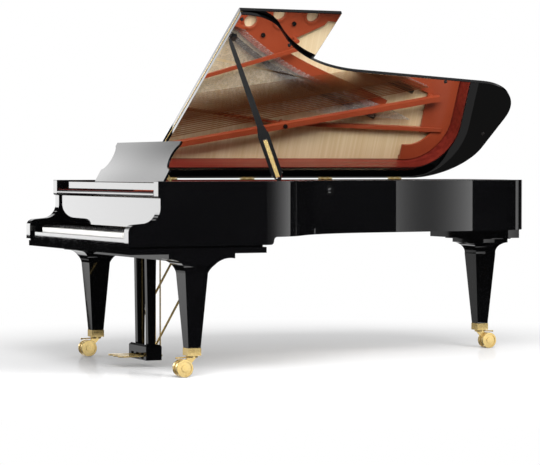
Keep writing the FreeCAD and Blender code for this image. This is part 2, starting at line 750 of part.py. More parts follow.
rails = []
brackets = (BRACKET_MARGINS[0] - INNER, INNER - BRACKET_MARGINS[1])
span = (brackets[0], brackets[1] + BRACKET_WIDTH)
rails.append(box(span[0], span[1], *HAMMER_RAIL))
rails.append(box(span[0], span[1], *WIPPEN_RAIL))
for x in brackets:
    rails.append(side([(BACK_PAD[0], frame_top), (BACK_PAD[1], frame_top), (WIPPEN_RAIL[1], WIPPEN_RAIL[2]),
                       (WIPPEN_RAIL[1], WIPPEN_RAIL[3]), (HAMMER_RAIL[1], HAMMER_RAIL[3]),
                       (HAMMER_RAIL[0], HAMMER_RAIL[3]), (HAMMER_RAIL[0], HAMMER_RAIL[2])], x, x + BRACKET_WIDTH))
nodes["action_rails"] = [fuse(rails)]

# Bridges
spline = Part.BSplineCurve()
spline.interpolate([V(x, back(share), 0) for x, share in LONG_BRIDGE])
long_edge = spline.toShape()


def on_bridge(fraction):
    parameter = long_edge.getParameterByLength(long_edge.Length * fraction)
    return long_edge.valueAt(parameter), long_edge.tangentAt(parameter)


def bridge_side(offset, reach, z):
    """Points beside the long bridge; a positive offset is on the hitch side."""
    points = []
    for i in range(25):
        here, along = on_bridge(i / 24)
        points.append(here + V(along.y, -along.x, 0) * offset + V(0, 0, z))
        if i == 0:
            points[0] = points[0] - along * reach
        if i == 24:
            points[24] = points[24] + along * reach
    return points


def bridge_band(near, far, reach, z0, z1):
    first = Part.BSplineCurve()
    first.interpolate(bridge_side(near, reach, z0))
    second = Part.BSplineCurve()
    second.interpolate(bridge_side(far, reach, z0))
    a = first.toShape()
    b = second.toShape()
    ends = [Part.makeLine(a.valueAt(a.LastParameter), b.valueAt(b.LastParameter)),
            Part.makeLine(b.valueAt(b.FirstParameter), a.valueAt(a.FirstParameter))]
    return prism(Part.Wire([a, ends[0], b, ends[1]]), V(0, 0, z1 - z0))


def bar_between(start, end, width, z0, z1):
    p = V(start[0], start[1], 0)
    q = V(end[0], end[1], 0)
    across = V(q.y - p.y, p.x - q.x, 0).normalize() * (width / 2)
    return plan([(c.x, c.y) for c in (p + across, q + across, q - across, p - across)], z0, z1)


plain_rest = PLAIN_Z - PLAIN_RADIUS - BRIDGE_GAP
wound_rest = WOUND_Z - WOUND_THICK - BRIDGE_GAP
bass_a, bass_b = [V(x, back(share), 0) for x, share in BASS_BRIDGE]
bass_dir = (bass_b - bass_a).normalize()
bass_p = bass_a - bass_dir * BRIDGE_END
bass_q = bass_b + bass_dir * BRIDGE_END
nodes["bridges"] = [
    bridge_band(-BRIDGE_WIDTH / 2, BRIDGE_WIDTH / 2, BRIDGE_END / 2, SOUNDBOARD_TOP, plain_rest),
    bar_between((bass_p.x, bass_p.y), (bass_q.x, bass_q.y), BRIDGE_WIDTH, SOUNDBOARD_TOP, wound_rest)]

# Strings with their tuning pins, agraffes and hitch pins
plain_strings = []
wound_strings = []
tuning_pins = []
hitch_pins = []
agraffes = []
window_spans = {}
strikes = {}
hitches = {}
bridge_steps = NOTES - 1 - GROUP_STARTS[1] + BREAK_STEPS * (len(GROUP_STARTS) - 2)
for note in range(NOTES):
    g = group(note)
    strike = V(action_x(note), SCALE_Y, 0)
    if g == 0:
        share = note / (GROUP_STARTS[1] - 1)
        bridge = bass_a + (bass_b - bass_a) * share
        count = 1 if note < SINGLE_STRINGS else 2
        spread = WOUND_SPREAD
        end_spread = WOUND_HITCH_SPREAD
        radius = WOUND_THICK + (WOUND_THIN - WOUND_THICK) * share
        level = WOUND_Z
        along = (bridge - strike).normalize()
        reach = BASS_HITCH
    else:
        steps = NOTES - 1 - note + BREAK_STEPS * (len(GROUP_STARTS) - 1 - g)
        bridge, tangent = on_bridge((steps / bridge_steps) ** BRIDGE_CURVE)
        count = 3
        end_spread = PLAIN_HITCH_SPREAD
        radius = PLAIN_RADIUS
        level = PLAIN_Z
        along = (bridge - strike).normalize()
        reach = HITCH_OFFSET / abs(along.x * tangent.y - along.y * tangent.x)
        length = reach + (bridge - strike).Length
        pin_length = length + SCALE_Y - PIN_ROWS[0]
        spread = end_spread + (PLAIN_SPREAD - end_spread) * length / pin_length
    across = V(along.y, -along.x, 0)
    strikes[note] = (strike, along)
    hitches[note] = bridge + along * reach
    holes = []
    for k in range(count):
        place = (k - (count - 1) / 2) * (2 if count == 2 else 1)
        line = strike + across * (spread * place)
        far = reach + (bridge - strike).Length + (HITCH_STAGGER if k == 1 else 0)
        hitch = strike + along * far + across * (end_spread * place)
        course = (hitch - line).normalize()
        row = PIN_ROWS[(k + note) % 3] if count < 3 else PIN_ROWS[k]
        pin = line + course * ((row - line.y) / course.y)
        lift = V(0, 0, level)
        wire = rod(pin + course * (PIN_RADIUS + STRING_GAP) + lift,
                   hitch - course * (HITCH_RADIUS + STRING_GAP) + lift, radius)
        (wound_strings if g == 0 else plain_strings).append(wire)
        tuning_pins.append(rod(pin + V(0, 0, PIN_BOTTOM), pin + V(0, 0, PIN_TOP), PIN_RADIUS))
        hitch_pins.append(rod(hitch + V(0, 0, PLATE_BOTTOM), hitch + V(0, 0, level + HITCH_RISE), HITCH_RADIUS))
        low, high = window_spans.get(g, (HALF, -HALF))
        window_spans[g] = (min(low, pin.x), max(high, pin.x))
        holes.append(rod(line - course * HOLE_REACH + lift, line + lift, radius + HOLE_CLEARANCE))
    stop = strike + along * ((AGRAFFE_Y - SCALE_Y) / along.y)
    agraffe = box(-AGRAFFE_WIDTH / 2, AGRAFFE_WIDTH / 2, -AGRAFFE_DEPTH / 2, AGRAFFE_DEPTH / 2, PLATE_TOP,
                  level + radius + AGRAFFE_RISE)
    agraffe.rotate(V(0, 0, 0), UP, math.degrees(math.atan2(along.y, along.x)) - 90)
    agraffe.translate(stop)
    agraffes.append(agraffe.cut(holes))
nodes["plain_strings"] = plain_strings
nodes["wound_strings"] = wound_strings
nodes["tuning_pins"] = tuning_pins
nodes["hitch_pins"] = hitch_pins
nodes["agraffes"] = agraffes

pinblock = box(-INNER, INNER, PINBLOCK_FRONT, PINBLOCK_REAR, PINBLOCK_BOTTOM, PLATE_BOTTOM)
nodes["pinblock"] = [pinblock.cut(tuning_pins)]

# Iron plate
limit = case_prism(PLATE_INSET, WEB_FRONT, SOUNDBOARD_TOP, STRUT_TOP + 1)
level = (PLATE_BOTTOM, PLATE_TOP)
flange = case_prism(PLATE_INSET, WEB_FRONT, *level)
flange = flange.cut(case_prism(PLATE_INSET + FLANGE, WEB_FRONT - 10, PLATE_BOTTOM - 1, PLATE_TOP + 1))
bass_edge = BASS_EDGE - HALF
treble_edge = HALF - TREBLE_EDGE
edge_rear = back(BASS_EDGE_REAR)
flange = flange.cut(box(-HALF, bass_edge, WEB_FRONT - 20, edge_rear, PLATE_BOTTOM - 1, PLATE_TOP + 1))
flange = flange.cut(box(treble_edge, HALF, WEB_FRONT - 20, TREBLE_EDGE_REAR[0], PLATE_BOTTOM - 1, PLATE_TOP + 1))
lip = case_prism(PLATE_INSET, WEB_FRONT, SOUNDBOARD_TOP, PLATE_BOTTOM)
lip = lip.cut(case_prism(PLATE_INSET + SEAT_LIP, WEB_FRONT - 10, SOUNDBOARD_TOP - 1, PLATE_BOTTOM + 1))
lip = lip.cut(box(-HALF, bass_edge, WEB_FRONT - 20, edge_rear, SOUNDBOARD_TOP - 1, PLATE_BOTTOM + 1))
lip = lip.cut(box(treble_edge, HALF, WEB_FRONT - 20, TREBLE_EDGE_REAR[1], SOUNDBOARD_TOP - 1, PLATE_BOTTOM + 1))
web = box(PLATE_INSET - HALF, HALF - PLATE_INSET, WEB_FRONT, WEB_REAR, *level)
for low, high in window_spans.values():
    web = web.cut(box(low - WINDOW_MARGIN, high + WINDOW_MARGIN, PIN_ROWS[2] - WINDOW_MARGIN - 5,
                      PIN_ROWS[0] + WINDOW_MARGIN + 5, PLATE_BOTTOM - 1, PLATE_TOP + 1))
band = bridge_band(HITCH_BAND[0], HITCH_BAND[1], 40, *level)
pieces = [flange, lip, web, band]
bass_hitches = []
for note in (0, GROUP_STARTS[1] - 1):
    strike, along = strikes[note]
    bridge = bass_a + (bass_b - bass_a) * (note / (GROUP_STARTS[1] - 1))
    bass_hitches.append(bridge + along * (BASS_HITCH + HITCH_STAGGER / 2))
spread = (bass_hitches[1] - bass_hitches[0]).normalize() * HITCH_RAIL_REACH
pieces.append(bar_between((bass_hitches[0] - spread)[:2], (bass_hitches[1] + spread)[:2], HITCH_RAIL,
                          *level))
pieces.append(plan([(x, back(share)) for x, share in TREBLE_WEB], *level))
pieces.append(box(TAIL_WEB_LEFT - HALF, HALF, back(TAIL_WEB), CASE_LENGTH, *level))
ports = [(x, back(share)) for x, share in PORTS]
pieces += [Part.makeCylinder(PORT_RADIUS + PORT_RIM, PLATE_TOP + PORT_RISE - PLATE_BOTTOM, V(x, y, PLATE_BOTTOM))
           for x, y in ports]


def break_x(first):
    """Middle of the gap in front of a string group, and the mean direction of its neighbours."""
    a, u = strikes[first - 1]
    b, w = strikes[first]
    return (a + b) * 0.5, (u + w).normalize()


joint, bar_rear, strut_rear, arch_end = [(x, back(share)) for x, share in (BAR_JOINT, BAR_REAR, STRUT_REAR, ARCH_END)]
strut_post = (STRUT_POSTS[1][0], back(STRUT_POSTS[1][1]))
pieces.append(bar_between(STRUT_FRONT, strut_rear, STRUT_WIDTH, STRUT_BOTTOM, STRUT_TOP))
for x, y in (STRUT_POSTS[0], joint, strut_post):
    pieces.append(Part.makeCylinder(STRUT_WIDTH / 2, STRUT_TOP - PLATE_BOTTOM, V(x, y, PLATE_BOTTOM)))
middle, lean = break_x(GROUP_STARTS[1])
arch_start = middle - lean * (SCALE_Y - WEB_REAR + WEB_OVERLAP)
bar_start = arch_start + V(BREAK_BAR_SHIFT, 0, 0)
pieces.append(bar_between(bar_start[:2], joint, BREAK_BAR_WIDTH, PLATE_BOTTOM, BAR_TOP))
pieces.append(bar_between(joint, bar_rear, BAR_WIDTH, PLATE_BOTTOM, BAR_TOP))
pieces.append(bar_between(arch_start[:2], arch_end, ARCH_WIDTH, ARCH_BOTTOM, ARCH_TOP))
for x, y in (arch_start[:2], arch_end):
    pieces.append(Part.makeCylinder(ARCH_WIDTH / 2, ARCH_TOP - PLATE_BOTTOM, V(x, y, PLATE_BOTTOM)))
middle, lean = break_x(GROUP_STARTS[3])
start = middle - lean * (SCALE_Y - WEB_REAR + 2 * WEB_OVERLAP)
end = (hitches[GROUP_STARTS[3] - 1] + hitches[GROUP_STARTS[3]]) * 0.5 + lean * TREBLE_BAR_RUN
bar_low, bar_high = STRUT_BOTTOM - TREBLE_BAR_DROP, STRUT_TOP - TREBLE_BAR_DROP
pieces.append(bar_between(start[:2], end[:2], TREBLE_BAR_WIDTH, bar_low, bar_high))
for p in (start, end):
    pieces.append(Part.makeCylinder(TREBLE_BAR_WIDTH / 2, bar_high - PLATE_BOTTOM, V(p.x, p.y, PLATE_BOTTOM)))
plate = fuse(pieces).common(limit)
for x, y in ports:
    plate = plate.cut(Part.makeCylinder(PORT_RADIUS, 60, V(x, y, PLATE_BOTTOM - 5)))
bridge_room = BRIDGE_WIDTH / 2 + BRIDGE_CLEARANCE
plate = plate.cut(bridge_band(-bridge_room, bridge_room, BRIDGE_END / 2 + BRIDGE_CLEARANCE, SOUNDBOARD_TOP - 1,
                              plain_rest + 1))
plate = plate.cut(hitch_pins)
nodes["iron_plate"] = [plate]

bolts = []
for foot in [V(joint[0], joint[1], STRUT_TOP)] + [V(x, back(share), PLATE_TOP) for x, share in BOLT_PLACES]:
    bolts.append(Part.makeCylinder(BOLT_RADIUS, BOLT_RISE * 0.6, foot).fuse(
        Part.makeCylinder(BOLT_RADIUS * 0.6, BOLT_RISE, foot)).removeSplitter())
nodes["plate_bolts"] = bolts

# Dampers
dampers = []
for note in range(DAMPED_NOTES):
    strike, along = strikes[note]
    bass = group(note) == 0
    seat = (WOUND_Z + WOUND_THICK if bass else PLAIN_Z + PLAIN_RADIUS) + DAMPER_GAP
    felt = box(-DAMPER_WIDTH / 2, DAMPER_WIDTH / 2, DAMPER_FRONT - SCALE_Y, DAMPER_REAR - SCALE_Y, seat,
               seat + DAMPER_HEIGHT)
    felt.rotate(V(0, 0, 0), UP, math.degrees(math.atan2(along.y, along.x)) - 90)
    felt.translate(strike)
    centre = strike + along * ((WIRE_Y - SCALE_Y) / along.y)
    offset = -WIRE_OFFSET if bass else WIRE_OFFSET
    top = seat + DAMPER_HEIGHT
    arm = box(min(0, offset) - WIRE_RADIUS, max(0, offset) + WIRE_RADIUS, -WIRE_RADIUS, WIRE_RADIUS, top, top + 2)
    wire = box(offset - WIRE_RADIUS, offset + WIRE_RADIUS, -WIRE_RADIUS, WIRE_RADIUS, WIRE_BOTTOM, top + 2)
    hanger = arm.fuse(wire)
    hanger.translate(centre)
    dampers.append(fuse([felt, hanger]))
nodes["dampers"] = dampers

# Fallboard
fall = round_edges(box(-FALLBOARD_HALF, FALLBOARD_HALF, *FALLBOARD), EDGE_ROUND, at(FALLBOARD[3]))
fall_y, fall_z = FALLBOARD_AXIS
pin_reach = INNER + FALL_PIN_DEPTH
ears = []
for sign in (-1, 1):
    edges = sorted((sign * (FALLBOARD_HALF - FALL_EAR), sign * FALLBOARD_HALF))
    ears.append(box(edges[0], edges[1], FALLBOARD[1] - 2, fall_y + FALL_EAR_HALF, fall_z - FALL_EAR_HALF,
                    fall_z + FALL_EAR_HALF))
    ears.append(rod(V(sign * (FALLBOARD_HALF - FALL_EAR), fall_y, fall_z), V(sign * pin_reach, fall_y, fall_z), FALL_PIN))
nodes["fallboard"] = [fuse([fall] + ears)]

# Music rails, sliding shelf, desk and its strut
ledge_half = INNER - LEDGE_CLEARANCE
ledge = round_edges(box(-ledge_half, ledge_half, *FRONT_LEDGE), LEDGE_ROUND,
                    lambda p: abs(p.y - FRONT_LEDGE[0]) < 1e-3 and abs(p.x) < 1)
rails = [box(sorted((s * RAIL_INNER, s * ledge_half))[0], sorted((s * RAIL_INNER, s * ledge_half))[1],
             APRON[0], SHELF_REAR + RAIL_WIDTH, RAIL_BOTTOM, SHELF_BOTTOM) for s in (-1, 1)]
nodes["music_rails"] = [fuse([ledge] + rails)]
shelf = [
    box(-SHELF_HALF, SHELF_HALF, SHELF_FRONT, SHELF_OPENING, SHELF_BOTTOM, SHELF_TOP),
    box(-SHELF_HALF, -SHELF_SIDE, SHELF_OPENING, SHELF_REAR, SHELF_BOTTOM, SHELF_TOP),
    box(SHELF_SIDE, SHELF_HALF, SHELF_OPENING, SHELF_REAR, SHELF_BOTTOM, SHELF_TOP),
    box(-SHELF_SIDE - 30, SHELF_SIDE + 30, CROSS_RAIL[0], CROSS_RAIL[1], SHELF_BOTTOM, CROSS_RAIL[2]),
    box(APRON_GAP - RAIL_INNER, RAIL_INNER - APRON_GAP, *APRON)]
shelf_shape = fuse(shelf)
lug_in = DESK_BOTTOM_HALF + DESK_LUG_GAP
for sign in (-1, 1):
    edges = sorted((sign * lug_in, sign * (lug_in + DESK_LUG)))
    shelf_shape = shelf_shape.fuse(box(edges[0], edges[1], DESK_Y - 7, DESK_Y + 7, SHELF_TOP, DESK_Z + 7))
    shelf_shape = shelf_shape.cut(rod(V(edges[0] - 1, DESK_Y, DESK_Z), V(edges[1] + 1, DESK_Y, DESK_Z), DESK_PIN + FIT))
nodes["music_shelf"] = [shelf_shape.removeSplitter()]



def desk_side(sign):
    """Edge of the desk from the foot to the top on one side: rounded foot, deep cove, top corner."""
    r = DESK_FOOT_ROUND
    def point(half, up):
        return V(sign * half, DESK_Y + up, DESK_Z)
    return [point(DESK_BOTTOM_HALF, 0), point(DESK_BOTTOM_HALF, DESK_FOOT),
            (point(DESK_BOTTOM_HALF - r * (1 - slope), DESK_FOOT + r * slope), point(DESK_BOTTOM_HALF - r, DESK_FOOT + r)),
            (point(DESK_COVE_HALF, DESK_COVE_MIDDLE), point(DESK_TOP_HALF, DESK_COVE_TOP)),
            point(DESK_TOP_HALF, DESK_SLANT)]


def reversed_steps(steps):
    """The same edge walked from its end to its start."""
    ends = [s[1] if isinstance(s, tuple) else s for s in steps]
    back_steps = [ends[-1]]
    for i in range(len(steps) - 1, 0, -1):
        back_steps.append((steps[i][0], ends[i - 1]) if isinstance(steps[i], tuple) else ends[i - 1])
    return back_steps


right_side = desk_side(1)
desk_wire = closed_wire(right_side[0], right_side[1:] + reversed_steps(desk_side(-1)))
desk = prism(desk_wire, V(0, 0, DESK_THICKNESS))
desk_axis = V(0, DESK_Y, DESK_Z)
pivot_y = DESK_Y + STRUT_PIVOT[0]
pivot_z = DESK_Z - STRUT_PIVOT[1]
lugs = []
for x in (-STRUT_X, STRUT_X):
    for a in (x - STRUT_SPREAD - 8, x + STRUT_SPREAD + 4):
        lugs.append(box(a, a + 4, pivot_y - 6, pivot_y + 6, pivot_z - 5, DESK_Z))
    lugs.append(rod(V(x - STRUT_SPREAD - 8, pivot_y, pivot_z), V(x + STRUT_SPREAD + 8, pivot_y, pivot_z), 2))
for sign in (-1, 1):
    lugs.append(rod(V(sign * (DESK_BOTTOM_HALF - 20), DESK_Y, DESK_Z),
                    V(sign * (DESK_BOTTOM_HALF + DESK_LUG_GAP + DESK_LUG), DESK_Y, DESK_Z), DESK_PIN))
desk = fuse([desk] + lugs)
desk.rotate(desk_axis, V(1, 0, 0), DESK_ANGLE)
nodes["music_desk"] = [desk]

turn = math.radians(DESK_ANGLE)
pivot = V(0, DESK_Y + STRUT_PIVOT[0] * math.cos(turn) + STRUT_PIVOT[1] * math.sin(turn),
          DESK_Z + STRUT_PIVOT[0] * math.sin(turn) - STRUT_PIVOT[1] * math.cos(turn))
foot_y = CROSS_RAIL[0] - STRUT_BAR
lean_angle = math.degrees(math.asin((foot_y - pivot.y) / STRUT_LENGTH))
struts = []
for x in (-STRUT_X, STRUT_X):
    barrel = rod(V(x - STRUT_SPREAD, 0, 0), V(x + STRUT_SPREAD, 0, 0), 4)
    legs = []
    for s in (-1, 1):
        top = s * (STRUT_SPREAD - 4)
        foot = s * 6
        legs.append(prism(closed_wire(V(x + top - 4, -2, 0), [
            V(x + top + 4, -2, 0), V(x + foot + 4, -2, -STRUT_LENGTH), V(x + foot - 4, -2, -STRUT_LENGTH)]), V(0, 4, 0)))
    tie = box(x - 12, x + 12, -2, 2, -STRUT_LENGTH, 10 - STRUT_LENGTH)
    frame_piece = fuse([barrel, tie] + legs).cut(rod(V(x - 40, 0, 0), V(x + 40, 0, 0), 2 + FIT))
    frame_piece.rotate(V(0, 0, 0), V(1, 0, 0), lean_angle)
    frame_piece.translate(pivot)
    struts.append(frame_piece)
nodes["desk_prop"] = struts

# Lid, built shut and then raised about its hinge axis
hinge = V(HINGE_X, 0, HINGE_Z)


def raised(shape):
    shape.rotate(hinge, V(0, -1, 0), LID_ANGLE)
    return shape


def lid_point(reach, y, drop):
    """Point under the raised lid at a distance from the hinge axis."""
    p = V(reach, 0, LID_BOTTOM - HINGE_Z - drop)
    c = math.cos(LID_TURN)
    s = math.sin(LID_TURN)
    return hinge + V(p.x * c - p.z * s, y, p.x * s + p.z * c)


lid_all = case_prism(-LID_OVERHANG, LID_FRONT, LID_BOTTOM, LID_TOP)
spine_trim = box(-HALF - 50, -HALF, LID_FRONT - 50, CASE_LENGTH + 50, LID_BOTTOM - 1, LID_TOP + 1)
lid_all = lid_all.cut(spine_trim)
main = lid_all.common(box(-HALF, HALF + 20, FOLD_Y, CASE_LENGTH + 20, LID_BOTTOM, LID_TOP))
main = round_edges(main, EDGE_ROUND, lambda p: (at(LID_TOP)(p) or at(LID_BOTTOM)(p)) and p.y > FOLD_Y + 1
                   and p.x > 1 - HALF)
nodes["lid_main"] = [raised(main)]

fold_axis = V(0, FOLD_Y, LID_TOP + FOLD_RISE)
flap = lid_all.common(box(-HALF, HALF + 20, LID_FRONT, FOLD_Y, LID_BOTTOM, LID_TOP))
flap = round_edges(flap, EDGE_ROUND, lambda p: (at(LID_TOP)(p) or at(LID_BOTTOM)(p)) and p.y < FOLD_Y - 1
                   and p.x > 1 - HALF)
flap.rotate(fold_axis, V(1, 0, 0), 180)
nodes["lid_flap"] = [raised(flap)]

fold_left = 10 - HALF
fold_pitch = (2 * HALF - 20) / FOLD_SEGMENTS
lid_leaf = [box(fold_left, -fold_left, FOLD_Y + FOLD_RADIUS + 1, FOLD_Y + FOLD_LEAF_WIDTH, LID_TOP, LID_TOP + FOLD_LEAF),
            rod(V(fold_left, fold_axis.y, fold_axis.z), V(-fold_left, fold_axis.y, fold_axis.z), FOLD_PIN)]
flap_leaf = [box(fold_left, -fold_left, FOLD_Y - FOLD_LEAF_WIDTH, FOLD_Y - FOLD_RADIUS - 1, LID_TOP, LID_TOP + FOLD_LEAF)]
for i in range(FOLD_SEGMENTS):
    a = fold_left + fold_pitch * i + 0.3
    b = fold_left + fold_pitch * (i + 1) - 0.3
    knuckle = rod(V(a, fold_axis.y, fold_axis.z), V(b, fold_axis.y, fold_axis.z), FOLD_RADIUS)
    if i % 2 == 0:
        lid_leaf += [knuckle, box(a, b, FOLD_Y, FOLD_Y + FOLD_RADIUS + 2, LID_TOP, LID_TOP + FOLD_LEAF)]
    else:
        flap_leaf += [knuckle, box(a, b, FOLD_Y - FOLD_RADIUS - 2, FOLD_Y, LID_TOP, LID_TOP + FOLD_LEAF)]
flap_bore = rod(V(fold_left - 5, fold_axis.y, fold_axis.z), V(5 - fold_left, fold_axis.y, fold_axis.z), FOLD_PIN + FIT)
flap_leaf = fuse(flap_leaf).cut(flap_bore)
flap_leaf.rotate(fold_axis, V(1, 0, 0), 180)
nodes["flap_hinge_lid_leaf"] = [raised(fuse(lid_leaf))]
nodes["flap_hinge_flap_leaf"] = [raised(flap_leaf)]

rim_leaves = []
lid_leaves = []
for share in HINGE_PLACES:
    a = back(share) - HINGE_LENGTH / 2
    pitch = HINGE_LENGTH / 5
    rim_leaf = [box(-HALF - HINGE_LEAF, -HALF, a, a + HINGE_LENGTH, RIM_TOP - LEAF_DROP, HINGE_Z - HINGE_RADIUS - 0.5),
                rod(V(HINGE_X, a, HINGE_Z), V(HINGE_X, a + HINGE_LENGTH, HINGE_Z), 1.5)]
    leaf_low = HINGE_Z + HINGE_RADIUS + 0.5
    leaf = [box(-HALF - HINGE_LEAF, -HALF, a, a + HINGE_LENGTH, leaf_low, leaf_low + LEAF_RISE)]
    for i in range(5):
        p = a + pitch * i + 0.3
        q = a + pitch * (i + 1) - 0.3
        knuckle = rod(V(HINGE_X, p, HINGE_Z), V(HINGE_X, q, HINGE_Z), HINGE_RADIUS)
        if i % 2 == 0:
            rim_leaf += [knuckle, box(-HALF - HINGE_LEAF, -HALF, p, q, HINGE_Z - HINGE_RADIUS - 1, HINGE_Z)]
        else:
            leaf += [knuckle, box(-HALF - HINGE_LEAF, -HALF, p, q, HINGE_Z, leaf_low + 1)]
    leaf = fuse(leaf).cut(rod(V(HINGE_X, a - 1, HINGE_Z), V(HINGE_X, a + HINGE_LENGTH + 1, HINGE_Z), 1.5 + FIT))
    rim_leaves.append(fuse(rim_leaf))
    lid_leaves.append(raised(leaf))
nodes["hinge_rim_leaves"] = rim_leaves
nodes["hinge_lid_leaves"] = lid_leaves

nodes["lid_bumpers"] = [
    raised(Part.makeCylinder(BUMPER_RADIUS, BUMPER_HEIGHT, V(x, back(share), LID_BOTTOM - BUMPER_HEIGHT)))
    for x, share in BUMPERS]

# Lid prop
prop_tip = lid_point(PROP_REACH, PROP_TOP_Y, PROP_SLACK)
prop_dir = (prop_tip - PROP_FOOT).normalize()
prop_length = (prop_tip - PROP_FOOT).Length
folded = V(-math.cos(PROP_FOLD), math.sin(PROP_FOLD), 0)
prop_half = (prop_dir + folded).normalize()
prop_normal = prop_dir.cross(folded).normalize()
prop_axis = prop_half * math.cos(PROP_TILT) + prop_normal * math.sin(PROP_TILT)
prop_across = prop_dir.cross(V(0.9, -0.42, 0)).normalize()
prop_face = prop_across.cross(prop_dir).normalize()


def on_prop(shape):
    """Carry a shape built along +z from the origin onto the prop, +x across it and +y through it."""
    matrix = FreeCAD.Matrix(prop_across.x, prop_face.x, prop_dir.x, PROP_FOOT.x,
                            prop_across.y, prop_face.y, prop_dir.y, PROP_FOOT.y,
                            prop_across.z, prop_face.z, prop_dir.z, PROP_FOOT.z, 0, 0, 0, 1)
    return shape.transformed(matrix)


def prop_profile(points, depth):
    corners = [V(x, -depth / 2, z) for x, z in points]
    return prism(closed_wire(corners[0], corners[1:]), V(0, depth, 0))


w = PROP_WIDTH / 2
edge = [(w, PROP_HEEL), (PROP_WIDE / 2, PROP_HEEL + PROP_RAMP), (PROP_WIDE / 2, PROP_WIDE_END - PROP_NECK_RAMP),
        (PROP_SHOULDER / 2, PROP_WIDE_END), (PROP_TOP_WIDTH / 2, prop_length - PROP_POINT),
        (PROP_TIP / 2, prop_length - PROP_POINT_FLAT), (PROP_TIP / 2, prop_length)]
shaft = prop_profile([(-x, z) for x, z in edge[:1]] + edge + [(-x, z) for x, z in edge[:0:-1]], PROP_DEPTH)
shaft = shaft.cut(box(-PROP_SLOT / 2, PROP_SLOT / 2, -PROP_DEPTH, PROP_DEPTH, HALF_FREE - SLOT_END / 2,
                      HALF_PIVOT + SLOT_END))
shaft = shaft.fuse(rod(V(-PROP_SLOT / 2 - 2, 0, HALF_PIVOT), V(PROP_SLOT / 2 + 2, 0, HALF_PIVOT), HALF_PIN))
shaft = on_prop(shaft.removeSplitter())
barrel = rod(PROP_FOOT - prop_axis * BARREL_HALF, PROP_FOOT + prop_axis * BARREL_HALF, PROP_BARREL)
neck = on_prop(box(-w, w, -PROP_DEPTH / 2, PROP_DEPTH / 2, 0, PROP_HEEL + 2))
stick_piece = fuse([shaft, neck, barrel])
stick_piece = stick_piece.cut(rod(PROP_FOOT - prop_axis * 60, PROP_FOOT + prop_axis * 60, PROP_PIN + FIT))
nodes["prop_stick"] = [stick_piece]

half_width = PROP_SLOT / 2 - 1
half_piece = box(-half_width, half_width, -PROP_DEPTH / 2 + 1, PROP_DEPTH / 2 - 1, HALF_FREE, HALF_PIVOT + 7)
half_piece = half_piece.cut(rod(V(-20, 0, HALF_PIVOT), V(20, 0, HALF_PIVOT), HALF_PIN + FIT))
nodes["half_prop"] = [on_prop(half_piece)]

lug_from = PROP_FOOT - prop_axis * (BARREL_HALF + LUG_GAP)
lug_foot = PROP_FOOT - prop_axis * (BARREL_HALF + LUG_GAP + LUG_LENGTH / 2 + 2)
bracket = [
    rod(PROP_FOOT - prop_axis * (BARREL_HALF + LUG_GAP + LUG_LENGTH), PROP_FOOT + prop_axis * (BARREL_HALF - 1), PROP_PIN),
    Part.makeCylinder(PROP_BARREL, LUG_LENGTH, lug_from, prop_axis * -1),
    box(lug_foot.x - 4, lug_foot.x + 4, lug_foot.y - 7, lug_foot.y + 7, PLATE_TOP, lug_foot.z),
    box(lug_foot.x - 50, lug_foot.x + 3, lug_foot.y - 14, lug_foot.y + 7, PLATE_TOP, PLATE_TOP + 8)]
nodes["prop_bracket"] = [fuse(bracket)]

cup = Part.makeBox(36, 26, CUP_DEPTH, V(hinge.x + PROP_REACH - 18, PROP_TOP_Y + CUP_GAP, LID_BOTTOM - CUP_DEPTH))
nodes["prop_cup"] = [raised(cup)]

# Lid lock on the bentside
one = unit(SHOULDER_ANGLE)
bend_centre = V(HALF - SHOULDER_RADIUS, SHOULDER_START, 0) + one * SHOULDER_RADIUS
bend_centre = bend_centre + V(-one.y, one.x, 0) * SHOULDER_STRAIGHT + one * BENTSIDE_RADIUS
lock_turn = math.asin((bend_centre.y - LOCK_Y) / BENTSIDE_RADIUS)
lock_out = unit(lock_turn)
lock_face = bend_centre - lock_out * BENTSIDE_RADIUS + V(0, 0, LOCK_Z)
lock = Part.makeCylinder(LOCK_RADIUS, 6, lock_face - lock_out * 2, lock_out)
lock = lock.fuse(Part.makeCylinder(LOCK_RADIUS * 0.5, 12, lock_face, lock_out)).removeSplitter()
nodes["lid_lock"] = [lock.cut(nodes["outer_rim"][0])]

# Legs, ferrules, casters and wheels


def leg_profile(points, cove_from, cove_to, far_reach):
    """Profile (half width, height) in the x-z plane, with its own reach of the cove on the +x side."""
    left, low = cove_from
    right, high = cove_to
    first, top = points
    rise = low + (high - low) * slope
    near_via = V(-right + (right - left) * slope, 0, rise)
    far_via = V(far_reach - (far_reach - left) * slope, 0, rise)
    return closed_wire(V(-first[0], 0, first[1]), [
        V(first[0], 0, first[1]), V(left, 0, low), (far_via, V(far_reach, 0, high)), V(far_reach, 0, top),
        V(-right, 0, top), V(-right, 0, high), (near_via, V(-left, 0, low))])


def leg(place, points, cove_from, cove_to, rear):
    span = 2 * max(cove_to[0], rear)
    one_way = prism(leg_profile(points, cove_from, cove_to, cove_to[0]), V(0, span, 0))
    one_way.translate(V(0, -span / 2, 0))
    other = prism(leg_profile(points, cove_from, cove_to, rear), V(0, span, 0))
    other.translate(V(0, -span / 2, 0))
    other.rotate(V(0, 0, 0), UP, 90)
    shape = one_way.common(other)
    shape.translate(V(place[0], place[1], 0))
    return shape


